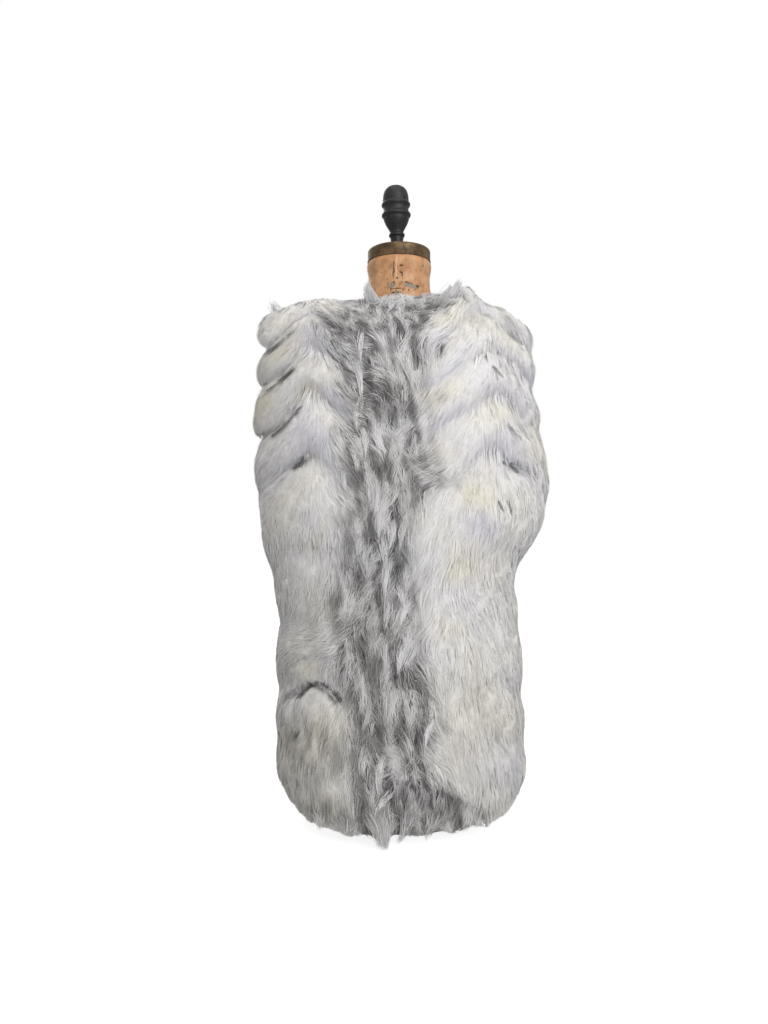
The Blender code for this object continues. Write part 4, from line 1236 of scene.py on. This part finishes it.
def closed_surface(rings, tip_low=None, tip_high=None):
    """Points and triangles of stacked rings, from the lowest up, with each end closed."""
    rows, columns = rings.shape[:2]
    low = rings[0].mean(0) if tip_low is None else np.array(tip_low)
    high = rings[-1].mean(0) if tip_high is None else np.array(tip_high)
    points = np.vstack([rings.reshape(-1, 3), low, high])
    index, total = np.arange(columns), rows * columns
    after, top = np.roll(index, -1), (rows - 1) * columns
    ends = [
        np.stack([after, index, np.full(columns, total)], -1),
        np.stack([index + top, after + top, np.full(columns, total + 1)], -1),
    ]
    return points, np.vstack([grid_triangles(rows, columns, True), *ends])


def form_rings(levels, turn, extra=0.0):
    """The dress form's rings at distances along its side, read from its sections."""
    half, z = column(FORM_SECTIONS, "half_width"), column(FORM_SECTIONS, "z")
    side = np.concatenate([[0], np.cumsum(np.hypot(np.diff(half), np.diff(z)))])
    at = np.interp(levels, z, side)[:, None]
    sizes = (column(FORM_SECTIONS, name) for name in ("half_width", "front", "back"))
    sizes = [smooth_between(at, side, values) + extra for values in sizes]
    height = smooth_between(at, side, z)
    power = FORM_POWER + (1 - FORM_POWER) * ease(height, ROUND_NECK_Z - 0.04, ROUND_NECK_Z)
    return ring(*sizes, height, turn[None, :], power)


def wear_at(x, z, kind):
    """1 inside a mark of wear and 0 outside, with a crisp edge, ragged but for the seam's."""
    found = np.zeros_like(x)
    point = np.stack([x, 0 * x, z], -1)
    ragged = 0.35 * waves(point, "ragged") + 0.22 * waves(point, "fine ragged")
    for mark in NECK_WEAR[kind]:
        turn = math.radians(mark.lean)
        dx, dz = x - mark.x, z - mark.z
        along = (dx * math.cos(turn) + dz * math.sin(turn)) / mark.length
        aside = (dz * math.cos(turn) - dx * math.sin(turn)) / mark.width
        away = np.sqrt(along**2 + aside**2) * (1 if kind == "seam" else 1 + ragged)
        found = np.maximum(found, 1 - ease(away, 0.65, 1.1))
    return found


def torso_mesh():
    """The form's body, from its flat foot to the root of the neck."""
    foot, middle = np.linspace(0, 0.03, 6)[:-1], np.linspace(0.03, 0.68, 40)[:-1]
    levels = np.concatenate([foot, middle, np.linspace(0.68, 0.7445, 30)])
    turn = np.arange(64) * 2 * math.pi / 64
    points, triangles = closed_surface(form_rings(levels, turn))
    return mesh_from_triangles("form_torso", points, triangles)


def neck_mesh():
    """The neck's covering: a sleeve lapped over the body's, with a raised seam in front,
    small holes and peeled patches sunk into it, and its wear stored for the material."""
    levels = np.concatenate([np.linspace(0.7400, 0.8003, 70), [0.8138, 0.8160, 0.8174]])
    front = np.linspace(-1.05, 1.05, 141)
    turn = np.concatenate([front, np.linspace(1.05, 2 * math.pi - 1.05, 49)[1:-1]])
    rings = form_rings(levels, turn, 0.0003)
    rings[-3:] = form_rings(levels[-3:], turn)
    level = rings[..., 2:3]
    slim = 0.022 * ease(level, 0.745, 0.765) * ease(0.800 - level, 0.0, 0.02)
    rings = rings * (1 - slim * np.array([1.0, 1.0, 0.0]))
    x, z = rings[..., 0], rings[..., 2]
    facing = (rings[..., 1] < 0).astype(float)
    seam, hole, peel = (wear_at(x, z, kind) * facing for kind in ("seam", "hole", "peel"))
    uneven = 0.00025 * waves(rings, "neck") * ease(0.799 - z, 0.0, 0.004)
    out = 0.0009 * seam - 0.0011 * hole - 0.0007 * peel + uneven
    rings = rings + unit(rings * np.array([1.0, 1.0, 0.0])) * out[..., None]
    points, triangles = closed_surface(rings)
    mesh = mesh_from_triangles("form_neck", points, triangles)
    wear = np.zeros((len(points), 4))
    wear[: x.size] = np.stack([peel, hole, seam, np.ones_like(x)], -1).reshape(-1, 4)
    add_colour(mesh, "wear", wear)
    return mesh


def turned(radius, z, segments, close_low, close_high):
    """A turned piece: a profile of radii and heights carried round the axis, and closed at
    two heights on it."""
    turn = np.arange(segments) * 2 * math.pi / segments
    radius = radius[:, None]
    rings = ring(radius, radius, radius, z[:, None], turn[None, :], 1.0)
    return closed_surface(rings, (0, 0, close_low), (0, 0, close_high))


def cap_mesh():
    """The pressed brass cap: an open cup 0.8 mm thick, its rim rolled out, with a few soft
    dents, which move its points along the radius by slow waves."""
    turns = np.linspace(0, math.pi / 2, 12)
    middle, shoulder = CAP_RADIUS - CAP_ROUND, CAP_TOP_Z - CAP_ROUND
    bend = CAP_ROUND - CAP_WALL
    bend_r, bend_z = middle + bend * np.sin(turns), shoulder + bend * np.cos(turns)
    round_r, round_z = middle + CAP_ROUND * np.sin(turns[::-1]), shoulder + CAP_ROUND * np.cos(turns[::-1])
    inner_r = np.concatenate([[0.004, 0.02, 0.032], bend_r, [CAP_RADIUS - CAP_WALL] * 3])
    inner_end = [0.8080, 0.8030, CAP_BOTTOM_Z + 0.0003]
    inner_z = np.concatenate([[CAP_TOP_Z - CAP_WALL] * 3, bend_z, inner_end])
    lip = np.linspace(-math.pi / 2, math.pi / 2, 9)
    lip_r = CAP_RADIUS + 0.0007 * np.cos(lip)
    lip_z = CAP_BOTTOM_Z + 0.0012 + 0.0012 * np.sin(lip)
    outer_r = np.concatenate([[CAP_RADIUS - 0.0001] * 5, round_r, [0.036, 0.030, 0.022, 0.012, 0.004]])
    outer_z = np.concatenate([np.linspace(0.8030, shoulder - 0.0015, 5), round_z, [CAP_TOP_Z] * 5])
    radius, z = np.concatenate([inner_r, lip_r, outer_r]), np.concatenate([inner_z, lip_z, outer_z])
    points, triangles = turned(radius, z, 112, CAP_TOP_Z - CAP_WALL, CAP_TOP_Z)
    outer = np.hypot(points[:, 0], points[:, 1]) > CAP_RADIUS - 0.0005
    outer = outer & (points[:, 2] > CAP_BOTTOM_Z + 0.003)
    dents = 0.00018 * waves(points, "dents")
    points[:, :2] *= (1 + (dents * outer / CAP_RADIUS))[:, None]
    return mesh_from_triangles("pressed_neck_cap", points, triangles)


def finial_mesh():
    """The turned finial: its outline read smoothly and carried round, then leant over."""
    height, radius = (column(FINIAL_OUTLINE, name)[::-1] for name in ("height", "radius"))
    run = np.concatenate([[0], np.cumsum(np.hypot(np.diff(height), np.diff(radius)) + 1e-6)])
    inner = run[1:-1]
    at = np.concatenate([[inner[0]], np.linspace(inner[0], inner[-1], 118)[1:]])
    r, h = (smooth_between(at, run[1:], values[1:]) for values in (radius, height))
    points, triangles = turned(r, h, 76, 0, height[-1])
    lift = REST_GAP + FINIAL_OUTLINE[-2].radius * math.sin(abs(FINIAL_TILT))
    c, t = math.cos(FINIAL_TILT), math.sin(FINIAL_TILT)
    x, z = points[:, 0] * c + points[:, 2] * t, -points[:, 0] * t + points[:, 2] * c
    placed = np.stack([x + FINIAL_X, points[:, 1], z + CAP_TOP_Z + lift], -1)
    return mesh_from_triangles("turned_finial", placed, triangles)


# Materials


def linear(code):
    """An sRGB hex colour as linear red, green and blue."""
    value = [int(code[i : i + 2], 16) / 255 for i in (1, 3, 5)]
    return tuple(v / 12.92 if v <= 0.04045 else ((v + 0.055) / 1.055) ** 2.4 for v in value)


def opaque(colour):
    """A colour with its alpha, from an sRGB hex code or from linear red, green and blue."""
    return (*(linear(colour) if isinstance(colour, str) else colour), 1)


def set_inputs(tree, node, inputs):
    """Gives a node's sockets their values, or links them."""
    for socket, value in inputs.items():
        if isinstance(value, bpy.types.NodeSocket):
            tree.links.new(value, node.inputs[socket])
        else:
            node.inputs[socket].default_value = value


def add_node(tree, kind, inputs=(), **settings):
    """Adds a node with its own settings, and its sockets' values or links."""
    made = tree.nodes.new(kind)
    for name, value in settings.items():
        setattr(made, name, value)
    set_inputs(tree, made, dict(inputs))
    return made


def new_material(name):
    made = bpy.data.materials.new(name)
    made.use_nodes = True
    return made, made.node_tree, made.node_tree.nodes["Principled BSDF"]


def mix(tree, share, first, second, blend="MIX"):
    """A colour mix node's result."""
    inputs = {0: share, 6: first, 7: second}
    return add_node(tree, "ShaderNodeMix", inputs, data_type="RGBA", blend_type=blend).outputs[2]


def ramp(tree, value, low, high, to_low=0.0, to_high=1.0):
    """A value's range turned into another range."""
    inputs = {0: value, 1: low, 2: high, 3: to_low, 4: to_high}
    return add_node(tree, "ShaderNodeMapRange", inputs).outputs[0]


def times(tree, first, second):
    """A product, kept within 0 and 1."""
    inputs = {0: first, 1: second}
    return add_node(tree, "ShaderNodeMath", inputs, operation="MULTIPLY", use_clamp=True).outputs[0]


def object_place(tree):
    return add_node(tree, "ShaderNodeTexCoord").outputs["Object"]


def stretched(tree, place, *scale):
    return add_node(tree, "ShaderNodeMapping", {0: place, 3: scale}).outputs[0]


def noise(tree, place, scale, detail, roughness=0.5):
    inputs = {"Vector": place, "Scale": scale, "Detail": detail, "Roughness": roughness}
    return add_node(tree, "ShaderNodeTexNoise", inputs).outputs["Fac"]


def rings_up(tree, place, scale, distortion):
    """Waves that follow the height."""
    inputs = {"Vector": place, "Scale": scale, "Distortion": distortion, "Detail": 2.0}
    return add_node(tree, "ShaderNodeTexWave", inputs, bands_direction="Z").outputs["Fac"]


def attribute(tree, name):
    """A colour attribute's red, green, blue and alpha."""
    read = add_node(tree, "ShaderNodeAttribute", attribute_name=name)
    parts = add_node(tree, "ShaderNodeSeparateColor", {0: read.outputs["Color"]}).outputs
    return parts[0], parts[1], parts[2], read.outputs["Alpha"]


def shaded(tree, colour, shade):
    """A colour times a brightness."""
    even = add_node(tree, "ShaderNodeCombineColor", {0: shade, 1: shade, 2: shade}).outputs[0]
    return mix(tree, 1.0, colour, even, "MULTIPLY")


def bump(tree, height, strength, distance):
    inputs = {"Height": height, "Strength": strength, "Distance": distance}
    return add_node(tree, "ShaderNodeBump", inputs).outputs[0]


def dress(tree, shader, colour, rough, normal):
    """Gives a shader its colour, roughness and bumps."""
    set_inputs(tree, shader, {"Base Color": colour, "Roughness": rough, "Normal": normal})


def fur_material(name, look, streaks):
    """Modacrylic faux fur, knitted pile, brushed and printed: dull, with a faint sheen at
    grazing light, greyer at the roots, and with fine streaks on the undercoat."""
    made, tree, shader = new_material(name)
    grey, cream, lavender, dark = attribute(tree, "tone")
    along, chance, _, _ = attribute(tree, "strand_place")
    white = mix(tree, ramp(tree, chance, 0, 1), opaque(look.white), opaque(look.shadow_white))
    # The tone's cream, lavender, grey and dark carry painted light and shade on the bands, slits, creases
    # and lower half, as well as the fur's own colours.
    colour = mix(tree, times(tree, cream, 0.85), white, opaque(look.cream))
    colour = mix(tree, times(tree, lavender, 0.75), colour, opaque(look.lavender))
    colour = mix(tree, grey, colour, opaque(look.grey))
    rooty = times(tree, ramp(tree, along, 0.0, 0.5, 0.8, 0.0), ramp(tree, grey, 0, 1, 0.06, 1.0))
    colour = mix(tree, rooty, colour, opaque(look.grey), "MULTIPLY")
    colour = mix(tree, dark, colour, opaque(look.dark))
    if streaks:
        # hairs 0.1 mm wide, drawn a millimetre wide and a centimetre long so that they show
        fine = noise(tree, stretched(tree, object_place(tree), 850.0, 850.0, 110.0), 1.0, 2.0)
        colour = shaded(tree, colour, ramp(tree, fine, 0.3, 0.7, 0.84, 1.04))
        set_inputs(tree, shader, {"Normal": bump(tree, fine, 0.5, 0.0012)})
    set_inputs(tree, shader, {"Base Color": colour, "Roughness": 0.72, "Specular IOR Level": 0.25})
    set_inputs(tree, shader, {"Sheen Weight": 0.15, "Sheen Roughness": 0.5})
    return made


def knit_material(look):
    """Warp-knitted polyester backing, with the pile's short undercoat on it: dull, and
    darker than the pile, in loops 1.5 mm apart."""
    made, tree, shader = new_material("knitted_polyester_backing")
    grey, _, _, dark = attribute(tree, "tone")
    colour = mix(tree, ramp(tree, grey, 0, 0.7), opaque(look.shadow_white), opaque(look.grey))
    colour = mix(tree, dark, colour, opaque(look.dark))
    inputs = {"Vector": object_place(tree), "Scale": 660.0}
    loops = add_node(tree, "ShaderNodeTexVoronoi", inputs).outputs["Distance"]
    # Darker towards each loop's edge: painted shade between the loops.
    colour = shaded(tree, colour, ramp(tree, loops, 0.0, 0.9, 1.0, 0.6))
    rough = bump(tree, loops, 0.4, 0.0005)
    dress(tree, shader, colour, 0.9, rough)
    return made


def neck_material(look):
    """Papier-mache covered in tanned, shellacked paper: brown blotches 6 to 20 mm across,
    fine fibres, satin where it was handled, grey-green board where the paper has peeled."""
    made, tree, shader = new_material("shellacked_paper_cover")
    place = object_place(tree)
    blotch = noise(tree, place, 75.0, 5.0, 0.6)
    colour = mix(tree, ramp(tree, blotch, 0.36, 0.66), opaque(look.cover_dark), opaque(look.cover))
    fibre = noise(tree, stretched(tree, place, 900.0, 900.0, 160.0), 1.0, 3.0)
    colour = shaded(tree, colour, ramp(tree, fibre, 0.3, 0.7, 0.82, 1.06))
    peel, hole, seam, _ = attribute(tree, "wear")
    # The raised seam is lighter: partly rubbed wear, partly a painted highlight along its ridge.
    colour = mix(tree, times(tree, seam, 0.55), colour, opaque(look.seam_wear_and_highlight))
    colour = mix(tree, peel, colour, mix(tree, fibre, opaque("#6d6f66"), opaque("#9b9a8d")))
    rim = times(tree, ramp(tree, peel, 0.02, 0.4), ramp(tree, peel, 0.9, 0.5))
    colour = mix(tree, times(tree, rim, 0.75), colour, opaque("#4a3626"))
    colour = mix(tree, hole, colour, opaque("#3a2b20"))
    rough = ramp(tree, blotch, 0.3, 0.7, 0.62, 0.45)
    dress(tree, shader, colour, rough, bump(tree, fibre, 0.35, 0.0004))
    return made


def torso_material():
    """Linen canvas over papier-mache, hidden by the vest: plain weave, threads 0.8 mm apart."""
    made, tree, shader = new_material("linen_canvas_cover")
    place = object_place(tree)
    weave = rings_up(tree, place, 200.0, 1.5)
    colour = mix(tree, noise(tree, place, 25.0, 4.0), opaque("#8f887e"), opaque("#a79f93"))
    colour = mix(tree, times(tree, weave, 0.25), colour, opaque("#6f695f"))
    dress(tree, shader, colour, 0.85, bump(tree, weave, 0.3, 0.0004))
    return made


def brass_material(look):
    """Brass, pressed and left to tarnish: brown with darker spots, dull, rubbed brighter in
    patches, with hairline scratches round it."""
    made, tree, shader = new_material("tarnished_pressed_brass")
    place = object_place(tree)
    cloud, spot = noise(tree, place, 60.0, 6.0, 0.65), noise(tree, place, 420.0, 3.0)
    colour = mix(tree, ramp(tree, cloud, 0.36, 0.64), opaque(look.tarnish), opaque(look.brass))
    colour = mix(tree, ramp(tree, spot, 0.58, 0.70, 0.0, 0.6), colour, opaque("#231a14"))
    lines = noise(tree, stretched(tree, place, 60.0, 60.0, 2600.0), 1.0, 2.0)
    colour = mix(tree, ramp(tree, lines, 0.66, 0.74, 0.0, 0.5), colour, opaque("#a08a66"))
    rough = ramp(tree, cloud, 0.3, 0.7, 0.62, 0.42)
    dress(tree, shader, colour, rough, bump(tree, spot, 0.12, 0.0003))
    set_inputs(tree, shader, {"Metallic": 0.75})
    return made


def finial_material(look):
    """Beech, turned and painted matt black: near black and satin, with tool lines
    round it 0.7 mm apart and a little dust."""
    made, tree, shader = new_material("black_painted_turned_beech")
    place = object_place(tree)
    lines = rings_up(tree, place, 230.0, 2.0)
    dust = noise(tree, place, 160.0, 5.0)
    colour = mix(tree, ramp(tree, dust, 0.45, 0.75, 0.0, 0.45), opaque(look.finial), opaque("#303033"))
    rough = ramp(tree, dust, 0.3, 0.7, 0.42, 0.58)
    dress(tree, shader, colour, rough, bump(tree, lines, 0.22, 0.0003))
    return made


# Settings, operators and panel

# Each panel's cut in metres, and its share of all the locks and of all the guard hairs
Share = namedtuple("Share", "cut_width cut_length locks hairs")
PANEL_SHARES = {
    "front_right": Share(0.31, 0.72, 0.30, 0.33),
    "front_left": Share(0.31, 0.72, 0.32, 0.33),
    "back": Share(0.46, 0.72, 0.38, 0.34),
}
FIRST_SEED = 100
EDGE_LOCKS, EDGE_HAIRS = 1500, 2600

# Soft square lights: name, place, the height that they look at, and power
Softbox = namedtuple("Softbox", "name place aim_z power")
SOFTBOXES = named_rows(
    Softbox,
    ("key", (1.05, -2.3, 1.35), 0.50, 39),
    ("top", (0.0, -0.6, 2.4), 0.45, 8),
    ("rim", (-0.5, 2.0, 1.9), 0.50, 26),
)
SOFTBOX_SIZE = 1.6
FLOOR_HALF = 20.0
LENS_MM, SENSOR_MM = 28.125, 36.0


def colour_setting(name, description, code):
    return bpy.props.FloatVectorProperty(
        name=name, description=description, subtype="COLOR", size=3, min=0, max=1, default=linear(code)
    )


def length_setting(name, description, default):
    return bpy.props.FloatProperty(name=name, description=description, default=default, unit="LENGTH")


def count_setting(name, description, default):
    return bpy.props.IntProperty(name=name, description=description, default=default, min=100)


def light_setting(name, description, default):
    return bpy.props.FloatProperty(name=name, description=description, default=default, min=0)


class FurSettings(bpy.types.PropertyGroup):
    pile_length: length_setting("Pile length", "Length of a lock", 0.042)
    lock_width: length_setting("Lock width", "Width of a matted lock", 0.0024)
    hair_width: length_setting("Hair width", "Width of a guard hair", 0.0007)
    locks: count_setting("Locks", "Locks over the whole vest", 33000)
    hairs: count_setting("Guard hairs", "Guard hairs over the whole vest", 104000)
    white: colour_setting("White", "The pile's white", "#f2f1f0")
    shadow_white: colour_setting("Off-white", "The duller strands of white", "#e2e1e2")
    # Cream is also painted light near the bands' tops. Lavender and grey are also painted shade towards the
    # bands' lower edges, and grey is painted shade low on the vest.
    cream: colour_setting("Cream", "Yellowish patches", "#ebe6d4")
    lavender: colour_setting("Lavender", "Cool patches", "#d5d4e0")
    grey: colour_setting("Grey", "The middle strip's grey", "#918f8d")
    # Dark also fills the slits, partly as painted shade, and the creases, as painted shade.
    dark: colour_setting("Dark", "The dark roots and strands", "#35343b")


class FormSettings(bpy.types.PropertyGroup):
    cover: colour_setting("Cover", "The neck's paper cover", "#d8a87c")
    cover_dark: colour_setting("Cover, aged", "Darker blotches of the cover", "#b98458")
    # The seam's colour is partly rubbed wear and partly a painted highlight along its ridge.
    seam_wear_and_highlight: colour_setting("Cover, rubbed", "The rubbed seam", "#ecc9a2")
    brass: colour_setting("Brass", "Rubbed brass of the cap", "#7d6648")
    tarnish: colour_setting("Tarnish", "Tarnished brass of the cap", "#4c3d31")
    finial: colour_setting("Finial", "The finial's black paint", "#1a1a1c")


class StageSettings(bpy.types.PropertyGroup):
    floor: colour_setting("Floor", "The studio floor's paint", "#b4b4b4")
    glow: light_setting("Glow", "Brightness of the white sweep to the camera", 0.85)
    bounce: light_setting("Bounce", "Light that comes off the sweep to the vest", 0.0)
    ambient: light_setting("Ambient", "Strength of the light from all round", 0.60)


def set_up_world(stage):
    world = bpy.data.worlds.new("studio")
    bpy.context.scene.world = world
    world.use_nodes = True
    tree = world.node_tree
    tree.nodes.clear()
    seen = add_node(tree, "ShaderNodeBackground", {0: (1, 1, 1, 1), 1: 1.0}).outputs[0]
    soft = add_node(tree, "ShaderNodeBackground", {0: (1, 0.985, 0.96, 1), 1: stage.ambient}).outputs[0]
    ray = add_node(tree, "ShaderNodeLightPath").outputs["Is Camera Ray"]
    both = add_node(tree, "ShaderNodeMixShader", {0: ray, 1: soft, 2: seen}).outputs[0]
    add_node(tree, "ShaderNodeOutputWorld", {0: both})


def add_softbox(name, place, aim_z, power):
    """A soft square light that looks at a height of the vest's middle."""
    data = bpy.data.lights.new(name, "AREA")
    data.shape, data.size, data.energy = "SQUARE", SOFTBOX_SIZE, power
    lamp = bpy.data.objects.new(name, data)
    bpy.context.scene.collection.objects.link(lamp)
    lamp.location = place
    lamp.rotation_euler = (Vector((0, 0, aim_z)) - Vector(place)).to_track_quat("-Z", "Y").to_euler()


def dress_panel(number, panel, surface, size, looks):
    """One panel: its backing, and the undercoat, pile and hairs on it."""
    coat, pile, hair, knit = looks
    rng = np.random.default_rng(FIRST_SEED + number)
    share = PANEL_SHARES[panel]
    backing = add_piece(f"backing_{panel}", backing_mesh(panel, surface), knit, panel)
    locks = comb_locks(surface, panel, int(size.locks * share.locks), size, rng)
    meshes = [
        (undercoat_mesh(panel, surface), coat),
        (lock_mesh(panel, locks, size, rng), pile),
    ]
    hairs = int(size.hairs * share.hairs)
    meshes.append((guard_mesh(f"guard_hair_{panel}", panel, locks, hairs, size, rng), hair))
    edge = edge_locks(surface, panel, EDGE_LOCKS, rng)
    meshes.append((guard_mesh(f"edge_hair_{panel}", panel, edge, EDGE_HAIRS, size, rng), hair))
    if panel != "front_right":
        meshes.append((slit_mesh(f"slit_hair_{panel}", surface, size, rng), hair))
    if panel == "front_left":
        meshes.append((tuft_mesh(surface, size, rng), hair))
    pieces = [add_piece(mesh.name, mesh, look) for mesh, look in meshes]


class VEST_OT_pile(bpy.types.Operator):
    """Makes the vest's three backings, their pile and their guard hairs"""

    bl_idname = "vest.pile"
    bl_label = "Fur panels"

    def execute(self, context):
        size = context.scene.vest_fur
        surfaces = {FRONT: Surface(FRONT), BACK: Surface(BACK)}
        looks = (
            fur_material("modacrylic_undercoat", size, True),
            fur_material("modacrylic_pile", size, False),
            fur_material("modacrylic_guard_hair", size, False),
            knit_material(size),
        )
        for number, panel in enumerate(PANEL_SHARES):
            dress_panel(number, panel, surfaces[face_of(panel)], size, looks)
        return {"FINISHED"}


class VEST_OT_form(bpy.types.Operator):
    """Makes the dress form's body, neck, cap and finial"""

    bl_idname = "vest.form"
    bl_label = "Dress form"

    def execute(self, context):
        look = context.scene.vest_form
        add_piece("form_torso", torso_mesh(), torso_material(), "form_body")
        add_piece("form_neck", neck_mesh(), neck_material(look), "form_body")
        add_piece("pressed_neck_cap", cap_mesh(), brass_material(look), "neck_cap")
        add_piece("turned_finial", finial_mesh(), finial_material(look), "finial")
        return {"FINISHED"}


class VEST_OT_stage(bpy.types.Operator):
    """Makes the floor, the soft lights and the camera at the photo's angle"""

    bl_idname = "vest.stage"
    bl_label = "Studio"

    def execute(self, context):
        scene, stage = context.scene, context.scene.vest_stage
        made, tree, shader = new_material("matt_studio_paint")
        ray = add_node(tree, "ShaderNodeLightPath").outputs["Is Camera Ray"]
        glow = ramp(tree, ray, 0, 1, stage.bounce, stage.glow)
        inputs = {"Base Color": opaque(stage.floor), "Roughness": 0.9}
        set_inputs(tree, shader, {**inputs, "Emission Color": (1, 1, 1, 1), "Emission Strength": glow})
        corners = FLOOR_HALF * np.array([[-1, -1, 0], [1, -1, 0], [1, 1, 0], [-1, 1, 0]])
        mesh = mesh_from_triangles("studio_floor", corners, np.array([[0, 1, 2], [0, 2, 3]]))
        mesh.materials.append(made)
        floor = bpy.data.objects.new("studio_floor", mesh)
        scene.collection.objects.link(floor)
        set_up_world(stage)
        for lamp in SOFTBOXES:
            add_softbox(*lamp)
        data = bpy.data.cameras.new("camera")
        data.lens, data.sensor_width, data.sensor_fit = LENS_MM, SENSOR_MM, "AUTO"
        camera = bpy.data.objects.new("camera", data)
        scene.collection.objects.link(camera)
        camera.location = EYE
        camera.rotation_euler = (math.pi / 2, 0, 0)
        scene.camera = camera
        scene.view_settings.view_transform = "Standard"
        return {"FINISHED"}


class VEST_PT_panel(bpy.types.Panel):
    bl_idname = "VEST_PT_panel"
    bl_label = "Fur Vest"
    bl_space_type = "VIEW_3D"
    bl_region_type = "UI"
    bl_category = "Fur Vest"

    def draw(self, context):
        for settings in (context.scene.vest_fur, context.scene.vest_form, context.scene.vest_stage):
            box = self.layout.box()
            for name in settings.__annotations__:
                box.prop(settings, name)
        for operator in OPERATORS:
            self.layout.operator(operator.bl_idname)


SETTINGS = {"vest_fur": FurSettings, "vest_form": FormSettings, "vest_stage": StageSettings}
OPERATORS = (VEST_OT_form, VEST_OT_pile, VEST_OT_stage)
CLASSES = (*SETTINGS.values(), *OPERATORS, VEST_PT_panel)


def register():
    for made in CLASSES:
        bpy.utils.register_class(made)
    for name, made in SETTINGS.items():
        setattr(bpy.types.Scene, name, bpy.props.PointerProperty(type=made))


def unregister():
    for name in SETTINGS:
        delattr(bpy.types.Scene, name)
    for made in reversed(CLASSES):
        bpy.utils.unregister_class(made)


def main():
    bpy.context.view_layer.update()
    register()
    for operator in OPERATORS:
        group, name = operator.bl_idname.split(".")
        getattr(getattr(bpy.ops, group), name)()


if __name__ == "__main__":
    main()
